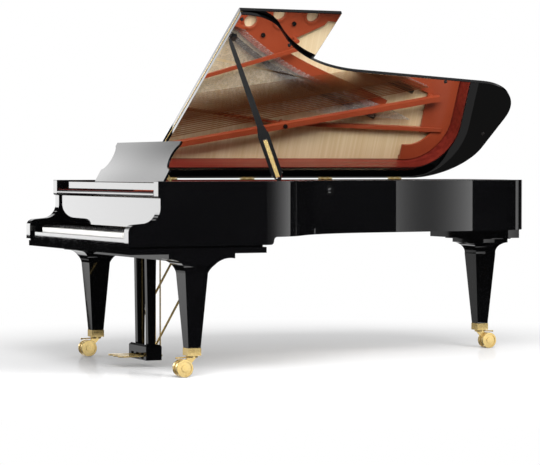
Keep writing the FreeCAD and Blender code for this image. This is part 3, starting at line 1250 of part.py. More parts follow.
leg_foot = (LEG_FOOT_HALF, LEG_FOOT)
leg_places = (LEG_FRONT, (-LEG_FRONT[0], LEG_FRONT[1]), LEG_TAIL)
leg_shapes = [leg(p, (leg_foot, KEYBED_BOTTOM), (LEG_NECK_HALF, LEG_NECK), (LEG_TOP_HALF, LEG_TOP_COVE),
                  LEG_TOP_REAR) for p in leg_places[:2]]
leg_shapes = [s.common(box(-KEYBED_HALF, KEYBED_HALF, 0, KEYBED_REAR, 0, KEYBED_BOTTOM)) for s in leg_shapes]
tail_leg = leg(LEG_TAIL, (leg_foot, TAIL_TOP), (TAIL_NECK_HALF, TAIL_NECK), (TAIL_TOP_HALF, TAIL_TOP_COVE),
               TAIL_TOP_HALF)
tail_plates = []
for size, low, high in ((TAIL_STEP_SIZE, TAIL_TOP, TAIL_STEP), (TAIL_PLATE_SIZE, TAIL_STEP, RIM_BOTTOM)):
    tail_plates.append(box(LEG_TAIL[0] - size[0], LEG_TAIL[0] + size[0], LEG_TAIL[1] - size[1], LEG_TAIL[1] + size[2],
                           low, high))
leg_shapes.append(fuse([tail_leg] + tail_plates))
nodes["legs"] = leg_shapes

ferrules = []
caster_names = ("treble", "bass", "tail")
for name, place, sign in zip(caster_names, leg_places, (-1, -1, 1)):
    x, y = place
    ferrule = box(x - FERRULE_HALF, x + FERRULE_HALF, y - FERRULE_HALF, y + FERRULE_HALF, FERRULE_BOTTOM, LEG_FOOT)
    socket = rod(V(x, y, FERRULE_BOTTOM - 1), V(x, y, STEM_TOP + 1), STEM_RADIUS + FIT)
    ferrules.append(ferrule.cut(socket))
    top = FERRULE_BOTTOM - CASTER_GAP
    axle_y = y + sign * CASTER_TRAIL
    web_wire = closed_wire(V(x - CASTER_WEB / 2, y - sign * 22, top - CASTER_DISC_HEIGHT), [
        V(x - CASTER_WEB / 2, y + sign * 26, top - CASTER_DISC_HEIGHT),
        V(x - CASTER_WEB / 2, axle_y + sign * 14, WHEEL_RADIUS + 10),
        V(x - CASTER_WEB / 2, axle_y + sign * 10, WHEEL_RADIUS - 12),
        V(x - CASTER_WEB / 2, axle_y - sign * 12, WHEEL_RADIUS - 12)])
    tab_z = top - CASTER_DISC_HEIGHT + TAB_RADIUS
    tab_end = V(x, axle_y + sign * TAB_REACH, tab_z - TAB_RADIUS)
    body = fuse([
        rod(V(x, y, tab_z), tab_end, TAB_RADIUS), Part.makeSphere(TAB_BALL, tab_end),
        rod(V(x, y, top - CASTER_DISC_HEIGHT), V(x, y, top), CASTER_DISC),
        rod(V(x, y, top - 2), V(x, y, STEM_TOP), STEM_RADIUS),
        prism(web_wire, V(CASTER_WEB, 0, 0)),
        rod(V(x - WHEEL_OUTER, axle_y, WHEEL_RADIUS), V(x + WHEEL_OUTER, axle_y, WHEEL_RADIUS), AXLE_RADIUS)])
    nodes["caster_" + name] = [body]
    wheels = []
    for s in (-1, 1):
        inner_x = x + s * WHEEL_INNER
        outer_x = x + s * WHEEL_OUTER
        wheel = rod(V(inner_x, axle_y, WHEEL_RADIUS), V(outer_x, axle_y, WHEEL_RADIUS), WHEEL_RADIUS)
        wheel = wheel.makeFillet(WHEEL_ROUND, [e for e in wheel.Edges if len(e.Vertexes) == 1])
        dish = [rod(V(outer_x - s * WHEEL_DISH[2], axle_y, WHEEL_RADIUS), V(outer_x + s, axle_y, WHEEL_RADIUS), r)
                for r in WHEEL_DISH[:2]]
        wheel = wheel.cut(dish[1].cut(dish[0]))
        wheels.append(wheel.cut(rod(V(inner_x - s, axle_y, WHEEL_RADIUS), V(outer_x + s, axle_y, WHEEL_RADIUS),
                                    AXLE_RADIUS + FIT)))
    nodes["wheels_" + name] = wheels
nodes["leg_ferrules"] = ferrules

# Pedal lyre
box_front = LYRE_Y - LYRE_BOX_DEPTH / 2
box_rear = LYRE_Y + LYRE_BOX_DEPTH / 2
lyre_box = box(-LYRE_BOX_HALF, LYRE_BOX_HALF, box_front, box_rear, LYRE_BOX_BOTTOM, LYRE_BOX_TOP)
lyre_box = lyre_box.makeChamfer(10, [e for e in lyre_box.Edges if at(LYRE_BOX_TOP)(e.CenterOfMass)])
lyre = [lyre_box, box(-150, 150, BEAM_REAR + 2, BEAM_REAR + 98, 598, KEYBED_BOTTOM)]
for sign in (-1, 1):
    x = sign * POST_X
    low = Part.makePolygon([V(x - 18, LYRE_Y - 20, LYRE_BOX_TOP), V(x + 18, LYRE_Y - 20, LYRE_BOX_TOP),
                            V(x + 18, LYRE_Y + 20, LYRE_BOX_TOP), V(x - 18, LYRE_Y + 20, LYRE_BOX_TOP),
                            V(x - 18, LYRE_Y - 20, LYRE_BOX_TOP)])
    high = Part.makePolygon([V(x - 15, LYRE_Y - 28, 598), V(x + 15, LYRE_Y - 28, 598), V(x + 15, LYRE_Y + 28, 598),
                             V(x - 15, LYRE_Y + 28, 598), V(x - 15, LYRE_Y - 28, 598)])
    lyre.append(Part.makeLoft([low, high], True, True))
lyre = fuse(lyre)
pedal_names = ("soft", "sostenuto", "damper")
for name, x in zip(pedal_names, PEDAL_X):
    lyre = lyre.cut(box(x - 19, x + 19, box_front - 1, box_rear + 1, PEDAL_BOTTOM - 12, PEDAL_TOP + 12))
    lyre = lyre.cut(rod(V(x - PEDAL_PIN_HALF - 1, PEDAL_PIVOT_Y, PEDAL_PIVOT_Z),
                        V(x + PEDAL_PIN_HALF + 1, PEDAL_PIVOT_Y, PEDAL_PIVOT_Z), PEDAL_PIN + FIT))
    wire = closed_wire(V(x - 12, PEDAL_REAR, PEDAL_BOTTOM), [
        V(x - 12, PEDAL_TIP + 92, PEDAL_BOTTOM), V(x - 24, PEDAL_TIP + 50, PEDAL_BOTTOM),
        V(x - 24, PEDAL_TIP + 24, PEDAL_BOTTOM),
        (V(x, PEDAL_TIP, PEDAL_BOTTOM), V(x + 24, PEDAL_TIP + 24, PEDAL_BOTTOM)),
        V(x + 24, PEDAL_TIP + 50, PEDAL_BOTTOM), V(x + 12, PEDAL_TIP + 92, PEDAL_BOTTOM),
        V(x + 12, PEDAL_REAR, PEDAL_BOTTOM)])
    lever = prism(wire, V(0, 0, PEDAL_TOP - PEDAL_BOTTOM))
    lever = round_edges(lever, 2.5, lambda p: at(PEDAL_TOP)(p) and p.y < PEDAL_TIP + 91)
    pivot_pin = rod(V(x - PEDAL_PIN_HALF, PEDAL_PIVOT_Y, PEDAL_PIVOT_Z),
                    V(x + PEDAL_PIN_HALF, PEDAL_PIVOT_Y, PEDAL_PIVOT_Z), PEDAL_PIN)
    nodes[name + "_pedal"] = [fuse([lever, pivot_pin])]
    nodes[name + "_rod"] = [rod(V(x, ROD_Y, PEDAL_TOP + 0.5), V(x, ROD_Y, ROD_TOP), ROD_RADIUS)]
nodes["pedal_lyre"] = [lyre]

room = box(-HALF, HALF, LYRE_Y, KEYBED_REAR, 0, KEYBED_BOTTOM)
brace_slope = (KEYBED_BOTTOM - BRACE_FOOT) / (BRACE_REAR - box_rear)
brace_run = V(0, 1, brace_slope).normalize() * (2 * KEYBED_BOTTOM)
braces = []
for x, rise, start_y in ((-BRACE_POST_X, BRACE_STEP, LYRE_Y), (BRACE_X, 0, box_rear - BRACE_SINK)):
    foot = V(x, start_y, BRACE_FOOT + rise - (box_rear - start_y) * brace_slope)
    braces.append(rod(foot, foot + brace_run, BRACE_RADIUS).common(room).cut(lyre))
nodes["lyre_braces"] = braces

# Export with the origin on the floor under the middle of the bounding box
flap_back = 2 * (LID_TOP + FOLD_RISE) - LID_BOTTOM - HINGE_Z
left_reach = HINGE_X + HINGE_OUT * math.cos(LID_TURN) - flap_back * math.sin(LID_TURN)
shift = V(-(left_reach + HALF) / 2, -(ARM_FRONT + CASE_LENGTH + LID_OVERHANG) / 2, 0)
os.makedirs("parts", exist_ok=True)
for name, shapes in nodes.items():
    shape = shapes[0] if len(shapes) == 1 else Part.makeCompound(shapes)
    shape.translate(shift)
    shape.exportStep("parts/" + name + ".step")
    print(name, len(shape.Solids), shape.isValid())
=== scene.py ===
import math
import bpy
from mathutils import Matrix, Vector


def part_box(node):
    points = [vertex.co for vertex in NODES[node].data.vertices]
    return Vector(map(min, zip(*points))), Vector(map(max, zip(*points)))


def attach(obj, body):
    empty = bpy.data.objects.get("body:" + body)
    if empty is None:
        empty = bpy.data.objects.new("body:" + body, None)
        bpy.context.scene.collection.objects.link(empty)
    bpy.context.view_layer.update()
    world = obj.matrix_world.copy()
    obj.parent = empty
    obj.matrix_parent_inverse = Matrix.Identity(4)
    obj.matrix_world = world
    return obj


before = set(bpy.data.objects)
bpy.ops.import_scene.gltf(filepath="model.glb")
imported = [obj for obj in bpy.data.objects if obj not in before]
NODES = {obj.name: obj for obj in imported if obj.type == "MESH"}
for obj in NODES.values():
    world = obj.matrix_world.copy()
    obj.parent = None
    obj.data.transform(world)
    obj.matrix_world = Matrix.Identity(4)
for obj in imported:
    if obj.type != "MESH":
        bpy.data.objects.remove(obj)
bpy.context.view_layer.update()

MM_PER_M = 1000
CASE_ORIGIN = Vector((0.013591, -1.381, 0.0))


def case(x, y, z):
    """Row-frame point for the case's own millimetres: across from its middle, back from the keybed, up."""
    return Vector((x, y, z)) / MM_PER_M + CASE_ORIGIN


def row(x, y):
    """Plan point in the row frame for millimetres in the case's own plan."""
    return case(x, y, 0).to_2d()


# Node helpers, with the sockets of the mix node in its colour mode
MIX_SHARE, MIX_FIRST, MIX_SECOND, MIX_RESULT = 0, 6, 7, 2


class Graph:
    """Thin wrapper that makes and links shader nodes."""

    def __init__(self, tree):
        self.tree = tree

    def add(self, kind, **values):
        node = self.tree.nodes.new("ShaderNode" + kind)
        for key, value in values.items():
            if hasattr(node, key):
                setattr(node, key, value)
            else:
                node.inputs[key.replace("_", " ")].default_value = value
        return node

    def link(self, a, b):
        self.tree.links.new(a, b)

    def put(self, socket, value):
        if isinstance(value, bpy.types.NodeSocket):
            self.tree.links.new(value, socket)
        else:
            socket.default_value = value

    def math(self, operation, a, b=0.0, clamp=False):
        node = self.add("Math", operation=operation, use_clamp=clamp)
        self.put(node.inputs[0], a)
        self.put(node.inputs[1], b)
        return node.outputs[0]

    def ramp(self, value, low, high, out_low=0.0, out_high=1.0):
        node = self.add("MapRange", interpolation_type="SMOOTHSTEP")
        for i, v in enumerate((value, low, high, out_low, out_high)):
            self.put(node.inputs[i], v)
        return node.outputs[0]

    def mix(self, share, a, b):
        node = self.add("Mix", data_type="RGBA")
        self.put(node.inputs[MIX_SHARE], share)
        self.put(node.inputs[MIX_FIRST], a)
        self.put(node.inputs[MIX_SECOND], b)
        return node.outputs[MIX_RESULT]


def material(name):
    mat = bpy.data.materials.new(name)
    mat.use_nodes = True
    graph = Graph(mat.node_tree)
    shader = mat.node_tree.nodes["Principled BSDF"]
    coords = graph.add("TexCoord").outputs["Object"]
    return mat, graph, shader, coords


def effect(name, inputs, outputs):
    """Empty shader node group with named sockets, for an effect that several finishes share."""
    tree = bpy.data.node_groups.new(name, "ShaderNodeTree")
    for way, sockets in (("INPUT", inputs), ("OUTPUT", outputs)):
        for label, kind in sockets.items():
            tree.interface.new_socket(label, in_out=way, socket_type="NodeSocket" + kind)
    return Graph(tree), tree.nodes.new("NodeGroupInput").outputs, tree.nodes.new("NodeGroupOutput").inputs


# Shared effects
GRAIN_LAYERS = (("Fine", 5.0, 0.6), ("Broad", 3.0, 0.55))
FINE_SHARE, BROAD_SHARE = 0.65, 0.5
SPOT_DETAIL, FINE_SPOT_DETAIL = 3.0, 4.0
SPOT_ROUGHNESS = 0.55


def speckle_group():
    """Cloudy spots of one scale."""
    g, given, result = effect("speckle", {"Vector": "Vector", "Scale": "Float", "Detail": "Float",
                                          "Roughness": "Float"}, {"Spots": "Float"})
    spots = g.add("TexNoise")
    for label in ("Vector", "Scale", "Detail", "Roughness"):
        g.link(given[label], spots.inputs[label])
    g.link(spots.outputs["Fac"], result["Spots"])
    return g.tree


def grain_group():
    """Long wood grain: fine streaks and the broad bands that carry them."""
    g, given, result = effect("wood_grain", {"Vector": "Vector", "Turn": "Vector", "Fine": "Vector",
                                             "Broad": "Vector"}, {"Share": "Float", "Streaks": "Float"})
    layers = []
    for label, detail, roughness in GRAIN_LAYERS:
        turned = g.add("Mapping")
        g.link(given["Vector"], turned.inputs["Vector"])
        g.link(given["Turn"], turned.inputs["Rotation"])
        g.link(given[label], turned.inputs["Scale"])
        spots = g.add("TexNoise", Scale=1.0, Detail=detail, Roughness=roughness)
        g.link(turned.outputs["Vector"], spots.inputs["Vector"])
        layers.append(spots.outputs["Fac"])
    fine, broad = layers
    share = g.math("ADD", g.math("MULTIPLY", fine, FINE_SHARE), g.math("MULTIPLY", broad, BROAD_SHARE), True)
    g.link(share, result["Share"])
    g.link(fine, result["Streaks"])
    return g.tree


SPECKLE = speckle_group()
WOOD_GRAIN = grain_group()


def noise(graph, vector, scale, detail=SPOT_DETAIL):
    node = graph.add("Group", node_tree=SPECKLE)
    graph.link(vector, node.inputs["Vector"])
    for label, value in (("Scale", scale), ("Detail", detail), ("Roughness", SPOT_ROUGHNESS)):
        node.inputs[label].default_value = value
    return node.outputs["Spots"]


def bump(graph, shader, height, distance, strength):
    node = graph.add("Bump", Strength=strength, Distance=distance)
    graph.link(height, node.inputs["Height"])
    graph.link(node.outputs["Normal"], shader.inputs["Normal"])


def rgba(r, g, b):
    return (r, g, b, 1.0)


# Polished finishes: span of the spots, shares of the mean roughness, scales, least cosine of a mirror face
SPOT_SPAN = (0.3, 0.7)
SMOOTHEST, LACQUER_ROUGHEST, METAL_ROUGHEST = 0.7, 1.4, 1.3
CLOUD_SCALE, POLISH_SCALE, METAL_SCALE = 2.5, 9.0, 40.0
MIRROR_FACING = 0.985


def uneven(graph, shader, spots, roughness, roughest):
    """Roughness that follows the spots, from smoother to rougher than its mean."""
    levels = graph.ramp(spots, *SPOT_SPAN, roughness * SMOOTHEST, roughness * roughest)
    graph.link(levels, shader.inputs["Roughness"])


def lacquer(name, dark, light, roughness, ior=1.55, mirror=None):
    """Polished finish with a faint cloudiness, and a mirror polish on the faces turned one way."""
    mat, g, shader, coords = material(name)
    cloud = noise(g, coords, CLOUD_SCALE)
    colour = g.mix(cloud, rgba(*dark), rgba(*light))
    uneven(g, shader, noise(g, coords, POLISH_SCALE), roughness, LACQUER_ROUGHEST)
    shader.inputs["IOR"].default_value = ior
    if mirror:
        direction, shine = mirror
        facing = g.add("VectorMath", operation="DOT_PRODUCT")
        g.link(g.add("TexCoord").outputs["Normal"], facing.inputs[0])
        facing.inputs[1].default_value = direction
        share = g.math("GREATER_THAN", facing.outputs["Value"], MIRROR_FACING)
        colour = g.mix(share, colour, rgba(*shine))
        g.link(share, shader.inputs["Metallic"])
    g.link(colour, shader.inputs["Base Color"])
    return mat


def metal(name, dark, light, roughness, metallic=1.0):
    """Polished metal with faint spots in its colour and polish."""
    mat, g, shader, coords = material(name)
    spots = noise(g, coords, METAL_SCALE, FINE_SPOT_DETAIL)
    g.link(g.mix(spots, rgba(*dark), rgba(*light)), shader.inputs["Base Color"])
    uneven(g, shader, spots, roughness, METAL_ROUGHEST)
    shader.inputs["Metallic"].default_value = metallic
    return mat


# Wood: cycles per metre along the grain, share of the fine scale that the bands have, and the relief
GRAIN_LENGTH_SCALE = 0.6
BAND_SHARE = 0.12
GRAIN_SPAN = (0.35, 0.8)
GRAIN_DEPTH, GRAIN_STRENGTH = 0.0004, 0.3


def wood(name, dark, light, along, turn=0.0, roughness=0.4, fine=60.0):
    """Straight grain running along one axis, turned about z."""
    mat, g, shader, coords = material(name)
    scale = {"x": (GRAIN_LENGTH_SCALE, fine, fine), "y": (fine, GRAIN_LENGTH_SCALE, fine)}[along]
    grain = g.add("Group", node_tree=WOOD_GRAIN)
    g.link(coords, grain.inputs["Vector"])
    grain.inputs["Turn"].default_value = (0, 0, turn)
    grain.inputs["Fine"].default_value = scale
    grain.inputs["Broad"].default_value = tuple(v * BAND_SHARE for v in scale)
    share = g.ramp(grain.outputs["Share"], *GRAIN_SPAN)
    g.link(g.mix(share, rgba(*dark), rgba(*light)), shader.inputs["Base Color"])
    shader.inputs["Roughness"].default_value = roughness
    bump(g, shader, grain.outputs["Streaks"], GRAIN_DEPTH, GRAIN_STRENGTH)
    return mat


# Felt
FUZZ_SCALE = 300.0
FUZZ_DEPTH, FUZZ_STRENGTH = 0.001, 0.5
FELT_ROUGHNESS = 0.95


def felt(name, dark, light):
    """Matt finish with a fine fuzz."""
    mat, g, shader, coords = material(name)
    fuzz = noise(g, coords, FUZZ_SCALE, FINE_SPOT_DETAIL)
    g.link(g.mix(fuzz, rgba(*dark), rgba(*light)), shader.inputs["Base Color"])
    shader.inputs["Roughness"].default_value = FELT_ROUGHNESS
    bump(g, shader, fuzz, FUZZ_DEPTH, FUZZ_STRENGTH)
    return mat


# Iron plate
PLATE_DARK, PLATE_LIGHT = (0.24, 0.035, 0.013), (0.42, 0.085, 0.034)
SAND_SCALE, SHADE_SCALE = 180.0, 5.0
SAND_SHARE, SHADE_SHARE = 0.4, 0.6
SAND_DEPTH, SAND_STRENGTH = 0.0006, 0.25
PLATE_ROUGHNESS = 0.32
PLATE_COAT, PLATE_COAT_ROUGHNESS = 0.5, 0.12


def plate_paint():
    """Bronze-red lacquer over sand-cast iron."""
    mat, g, shader, coords = material("plate_paint")
    sand = noise(g, coords, SAND_SCALE, FINE_SPOT_DETAIL)
    shade = noise(g, coords, SHADE_SCALE)
    share = g.math("ADD", g.math("MULTIPLY", sand, SAND_SHARE), g.math("MULTIPLY", shade, SHADE_SHARE))
    g.link(g.mix(share, rgba(*PLATE_DARK), rgba(*PLATE_LIGHT)), shader.inputs["Base Color"])
    shader.inputs["Roughness"].default_value = PLATE_ROUGHNESS
    shader.inputs["Coat Weight"].default_value = PLATE_COAT
    shader.inputs["Coat Roughness"].default_value = PLATE_COAT_ROUGHNESS
    bump(g, shader, sand, SAND_DEPTH, SAND_STRENGTH)
    return mat


# Wound strings
COPPER_DARK, COPPER_LIGHT = (0.34, 0.13, 0.05), (0.78, 0.4, 0.2)
WINDING_SCALE = 260.0
WINDING_ROUGHNESS = 0.3


def winding():
    """Copper wire wound closely round a steel core that runs along y."""
    mat, g, shader, coords = material("copper_winding")
    waves = g.add("TexWave", bands_direction="Y", Scale=WINDING_SCALE, Distortion=0.0)
    g.link(coords, waves.inputs["Vector"])
    copper = g.mix(waves.outputs["Fac"], rgba(*COPPER_DARK), rgba(*COPPER_LIGHT))
    g.link(copper, shader.inputs["Base Color"])
    shader.inputs["Metallic"].default_value = 1.0
    shader.inputs["Roughness"].default_value = WINDING_ROUGHNESS
    return mat


# Finishes, each with its darkest and lightest colour
LID_SLOPE = math.radians(32.8)
UNDER_LID = (math.sin(LID_SLOPE), 0.0, -math.cos(LID_SLOPE))
LID_MIRROR = (0.78, 0.77, 0.76)
BLACK = (0.001, 0.001, 0.0012), (0.0022, 0.0022, 0.0025)
BLACK_IOR = 2.0
BOARD_TURN = math.radians(-38)
LACQUER = lacquer("black_lacquer", *BLACK, roughness=0.03, ior=BLACK_IOR)
LID_GLOSS = lacquer("lid_gloss", *BLACK, roughness=0.012, ior=BLACK_IOR, mirror=(UNDER_LID, LID_MIRROR))
MAHOGANY = wood("mahogany", (0.11, 0.012, 0.009), (0.24, 0.03, 0.02), "y", roughness=0.25, fine=40.0)
MAPLE = wood("maple", (0.38, 0.24, 0.12), (0.62, 0.45, 0.27), "x")
SPRUCE = wood("spruce", (0.74, 0.56, 0.31), (0.9, 0.75, 0.5), "x", turn=BOARD_TURN, roughness=0.35, fine=90.0)
BRIDGE = wood("bridge_wood", (0.012, 0.008, 0.006), (0.05, 0.028, 0.016), "y", roughness=0.5)
PLATE = plate_paint()
IRON = lacquer("black_iron", (0.006, 0.006, 0.006), (0.014, 0.014, 0.014), roughness=0.2)
STEEL = metal("string_steel", (0.6, 0.58, 0.55), (0.8, 0.78, 0.75), roughness=0.25, metallic=0.6)
WOUND = winding()
BRASS = metal("brass", (0.9, 0.62, 0.2), (1.0, 0.79, 0.38), roughness=0.2, metallic=0.75)
CHROME = metal("chrome", (0.7, 0.7, 0.71), (0.8, 0.8, 0.81), roughness=0.06)
IVORY = lacquer("white_keytop", (0.78, 0.77, 0.73), (0.84, 0.83, 0.79), roughness=0.12)
EBONY = lacquer("black_keytop", (0.006, 0.006, 0.006), (0.014, 0.013, 0.013), roughness=0.22)
DAMPER = felt("damper_felt", (0.012, 0.012, 0.012), (0.03, 0.03, 0.03))
RED_FELT = felt("red_felt", (0.09, 0.004, 0.005), (0.17, 0.01, 0.01))
RUBBER = felt("rubber", (0.01, 0.01, 0.01), (0.025, 0.025, 0.025))

FINISHES = {
    LACQUER: ("outer_rim keybed keyslip key_blocks legs pedal_lyre prop_stick music_rails music_shelf "
              "music_desk action_rails case_beams fallboard"),
    LID_GLOSS: "lid_main lid_flap",
    MAHOGANY: "rim_lining",
    MAPLE: ("inner_rim pinblock natural_wippens sharp_wippens keyframe natural_hammers sharp_hammers "
            "soundboard_ribs"),
    SPRUCE: "soundboard",
    BRIDGE: "bridges",
    PLATE: "iron_plate",
    IRON: "plate_bolts prop_bracket prop_cup",
    STEEL: "tuning_pins plain_strings hitch_pins",
    WOUND: "wound_strings",
    BRASS: ("agraffes leg_ferrules lyre_braces hinge_rim_leaves hinge_lid_leaves flap_hinge_lid_leaf "
            "flap_hinge_flap_leaf desk_prop soft_pedal sostenuto_pedal damper_pedal soft_rod sostenuto_rod "
            "damper_rod half_prop caster_treble caster_bass caster_tail "
            "wheels_treble wheels_bass wheels_tail"),
    CHROME: "lid_lock",
    IVORY: "natural_keys",
    EBONY: "sharp_keys",
    DAMPER: "dampers",
    RUBBER: "lid_bumpers",
}
for finish, names in FINISHES.items():
    for name in names.split():
        NODES[name].data.materials.clear()
        NODES[name].data.materials.append(finish)

# Camera
SENSOR_WIDTH, LENS = 36.0, 147.62
CAMERA_PLACE = (11060, -4004, 1060)
CAMERA_PITCH, CAMERA_TURN = math.radians(90 - 1.66), math.radians(65.1)
CAMERA_REACH = 100.0
camera = bpy.data.objects.new("camera", bpy.data.cameras.new("camera"))
bpy.context.scene.collection.objects.link(camera)
camera.data.sensor_width = SENSOR_WIDTH
camera.data.lens = LENS
camera.data.clip_end = CAMERA_REACH
camera.location = case(*CAMERA_PLACE)
camera.rotation_euler = (CAMERA_PITCH, 0, CAMERA_TURN)
bpy.context.scene.camera = camera

# Floor that turns to plain white away from the piano
FLOOR_SIZE = 60
FLOOR_DARK, FLOOR_LIGHT = (0.63, 0.63, 0.635), (0.65, 0.65, 0.652)
FLOOR_SCALE = 0.8
FLOOR_ROUGHNESS = 0.5
SHEEN_SHARE, SHEEN_ROUGHNESS = 0.18, 0.09
WHITE_SPAN = (1.5, 3.4)
LEAST_WHITE = 0.05
bpy.ops.object.select_all(action="DESELECT")
bpy.ops.mesh.primitive_plane_add(size=FLOOR_SIZE, location=(0, 0, 0))
floor = bpy.context.object
floor.name = "floor"
mat, g, shader, coords = material("pale_floor")
pale = g.mix(noise(g, coords, FLOOR_SCALE), rgba(*FLOOR_DARK), rgba(*FLOOR_LIGHT))
g.link(pale, shader.inputs["Base Color"])
shader.inputs["Roughness"].default_value = FLOOR_ROUGHNESS
shader.inputs["Specular IOR Level"].default_value = 0.0
sheen = g.add("BsdfGlossy", Roughness=SHEEN_ROUGHNESS)
polished = g.add("MixShader")
polished.inputs[0].default_value = SHEEN_SHARE
g.link(shader.outputs[0], polished.inputs[1])
g.link(sheen.outputs[0], polished.inputs[2])
white = g.add("Emission", Strength=1.0)
spread = g.add("VectorMath", operation="LENGTH")
g.link(coords, spread.inputs[0])
fade = g.ramp(spread.outputs["Value"], *WHITE_SPAN)
seen = g.math("MULTIPLY", g.add("LightPath").outputs["Is Camera Ray"], g.math("MAXIMUM", fade, LEAST_WHITE))
blend = g.add("MixShader")
g.link(seen, blend.inputs[0])
g.link(polished.outputs[0], blend.inputs[1])
g.link(white.outputs[0], blend.inputs[2])
g.link(blend.outputs[0], mat.node_tree.nodes["Material Output"].inputs["Surface"])
floor.data.materials.append(mat)
floor.visible_glossy = False

# World: white to the eye, with dark flags in the reflections whose edges go from clear to full
FLAG_TOP = (0.55, 0.3)
BAND_FOOT, BAND_EDGE = (-0.5, -0.3), (-0.72, -0.6)
FRONT_EDGE = (0.05, -0.05)
UNDER_TOP, UNDER_EDGE = (-0.25, -0.35), (0.1, 0.25)
FLAG_TONE = 0.008
SKY_SPAN, SKY_TONES = (0.3, 0.6), (1.0, 0.2)
world = bpy.data.worlds.new("studio")
bpy.context.scene.world = world
world.use_nodes = True
g = Graph(world.node_tree)
back = world.node_tree.nodes["Background"]
path = g.add("LightPath")
axes = g.add("SeparateXYZ")
g.link(g.add("TexCoord").outputs["Generated"], axes.inputs[0])
side, depth, height = axes.outputs
level = g.math("MULTIPLY", g.ramp(height, *FLAG_TOP), g.ramp(height, *BAND_FOOT))
band = g.math("MULTIPLY", level, g.ramp(side, *BAND_EDGE))
front = g.math("MULTIPLY", g.ramp(height, *FLAG_TOP), g.ramp(depth, *FRONT_EDGE))
under = g.math("MULTIPLY", g.ramp(height, *UNDER_TOP), g.ramp(depth, *UNDER_EDGE))
flag = g.math("MAXIMUM", g.math("MAXIMUM", band, front), under)
open_sky = g.ramp(height, *SKY_SPAN, *SKY_TONES)
glossy = g.math("MULTIPLY", open_sky, g.ramp(flag, 0.0, 1.0, 1.0, FLAG_TONE))
shown = g.mix(path.outputs["Is Glossy Ray"], rgba(1, 1, 1), glossy)
g.link(shown, back.inputs["Color"])


def area_light(name, place, target, size, power):
    data = bpy.data.lights.new(name, "AREA")
    data.shape = "RECTANGLE"
    data.size, data.size_y = size
    data.energy = power
    lamp = bpy.data.objects.new(name, data)
    bpy.context.scene.collection.objects.link(lamp)
    lamp.location = place
    lamp.rotation_euler = (Vector(target) - Vector(place)).to_track_quat("-Z", "Y").to_euler()
    return lamp


# Lamps that light the piano without being mirrored in it: place, target, size and power
LAMPS = {
    "key": ((4.5, -2.5, 5.0), (0.0, 0.2, 0.9), (3.0, 3.0), 420),
    "fill": ((3.4, 0.8, 3.0), (0.0, 0.3, 0.95), (1.6, 1.6), 150),
}
for name, settings in LAMPS.items():
    area_light(name, *settings).visible_glossy = False

# Cards that are mirrored in the piano without lighting it, up to this depth of the light path
FIRST_REFLECTION = 2.5


def softbox(name, low, high, span, strength):
    """Upright card between two foot points, over a span of heights, with strengths across and up it."""
    a, b = Vector(low), Vector(high)
    bottom, top = span
    size = ((b - a).length, top - bottom)
    middle = ((a + b) / 2).to_3d()
    middle.z = (bottom + top) / 2
    aim = middle + Vector((0, 0, 1)).cross((b - a).to_3d())
    lamp = area_light(name, middle, aim, size, math.pi * size[0] * size[1])
    lamp.visible_diffuse = False
    lamp.visible_camera = False
    lamp.data.use_shadow = False
    lamp.data.use_nodes = True
    g = Graph(lamp.data.node_tree)
    emission = lamp.data.node_tree.nodes["Emission"]
    spot = g.add("SeparateXYZ")
    g.link(g.add("NewGeometry").outputs["Parametric"], spot.inputs[0])
    first = g.math("LESS_THAN", g.add("LightPath").outputs["Ray Depth"], FIRST_REFLECTION)
    shine = strength(g, spot.outputs[0], spot.outputs[1])
    g.link(g.math("MULTIPLY", first, shine), emission.inputs["Strength"])


def upward(*levels):
    """Strength that changes up a card: where the change begins and ends, and the strength at each."""
    return lambda g, u, v: g.ramp(v, *levels)


def across(*levels):
    """Strength that changes across a card in the same way."""
    return lambda g, u, v: g.ramp(u, *levels)


DESK_UP, DESK_ACROSS = (0.2, 0.7, 1.7, 0.6), (0.1, 0.8, 1.2, 0.1)
SIDE_LEAST, SIDE_DIM_AT, SIDE_RISE = 0.25, 0.4, 1.6


def desk_strength(g, u, v):
    """Brightest at the card's foot and at its first end."""
    return g.math("ADD", g.ramp(v, *DESK_UP), g.ramp(u, *DESK_ACROSS))


def side_strength(g, u, v):
    """Dim at one place, and rising with the square of the distance from it."""
    distance = g.math("MULTIPLY", g.math("SUBTRACT", u, SIDE_DIM_AT), SIDE_RISE)
    return g.math("ADD", SIDE_LEAST, g.math("POWER", distance, 2.0))


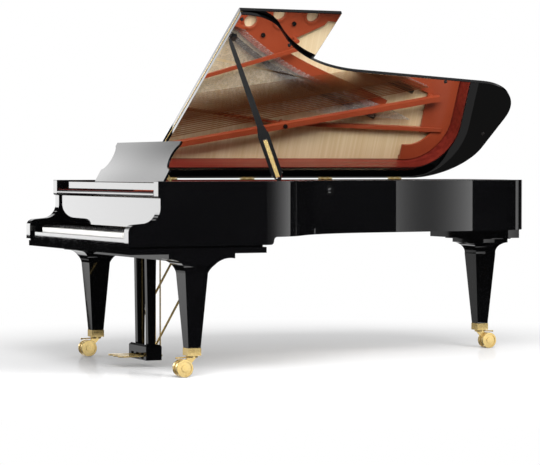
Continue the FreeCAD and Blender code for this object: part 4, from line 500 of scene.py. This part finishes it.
# Foot points in the case's plan, heights in metres, and strengths
RIM_SPAN = (0.5, 1.1)
CARDS = {
    "front_card": ((-5200, -1260), (-1500, -1260), (0.57, 2.4), upward(0.5, 1.0, 3.3, 2.0)),
    "leg_card": ((-5200, -1262), (-1500, -1262), (-1.0, 0.48), upward(0.0, 1.0, 0.3, 0.6)),
    "tail_leg_card": ((-9600, -1262), (-6800, -1262), (-1.8, 0.5), upward(0.0, 1.0, 0.2, 0.25)),
    "desk_card": ((-9500, -1262), (-6500, -1262), (3.3, 4.4), desk_strength),
    "bend_card": ((918, 825), (755, 1050), RIM_SPAN, across(0.0, 1.0, 0.05, 0.9)),
    "side_card": ((435, 1893), (461, 2486), RIM_SPAN, side_strength),
    "tail_card": ((150, 2731), (94, 2773), RIM_SPAN, across(0.0, 1.0, 0.6, 0.4)),
}
for name, (low, high, span, strength) in CARDS.items():
    softbox(name, row(*low), row(*high), span, strength)

# A card before each caster, with the way from the wheels to it in degrees
CASTER_CARD_TURNS = {"treble": 24.7, "bass": 20.4, "tail": 30.4}
CASTER_CARD_HALF = 0.12
CASTER_CARD_REACH = 0.33
CASTER_CARD_SPAN = (-0.12, 0.085)
for name, turn in CASTER_CARD_TURNS.items():
    low, high = (Vector(corner).to_2d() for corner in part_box("wheels_" + name))
    out = Vector((math.cos(math.radians(turn)), math.sin(math.radians(turn))))
    edge = Vector((-out.y, out.x)) * CASTER_CARD_HALF
    middle = (low + high) / 2 + out * CASTER_CARD_REACH
    softbox("caster_card_" + name, middle - edge, middle + edge, CASTER_CARD_SPAN, upward(0.3, 1.0, 0.3, 1.1))

# Felt strip on the front ledge, as spans in the case's millimetres
LEDGE_FELT = {"x": (-700, 700), "y": (152, 183), "z": (940.1, 941.6)}
BEVEL_PARTS, BEVEL_SEGMENTS = 3, 2


def bar(name, x, y, z, finish, body):
    """Strip of trim with rounded edges, given as spans in the case's millimetres."""
    low, high = case(x[0], y[0], z[0]), case(x[1], y[1], z[1])
    bpy.ops.object.select_all(action="DESELECT")
    bpy.ops.mesh.primitive_cube_add(size=1, location=(low + high) / 2, scale=high - low)
    bpy.ops.object.transform_apply(location=True, rotation=True, scale=True)
    bpy.ops.object.mode_set(mode="EDIT")
    bpy.ops.mesh.select_all(action="SELECT")
    bpy.ops.mesh.bevel(offset=min(high - low) / BEVEL_PARTS, segments=BEVEL_SEGMENTS)
    bpy.ops.object.mode_set(mode="OBJECT")
    strip = bpy.context.object
    strip.name = name
    strip.data.materials.append(finish)
    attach(strip, body)


bar("ledge_felt", **LEDGE_FELT, finish=RED_FELT, body="case")

bpy.context.scene.view_settings.view_transform = "Standard"
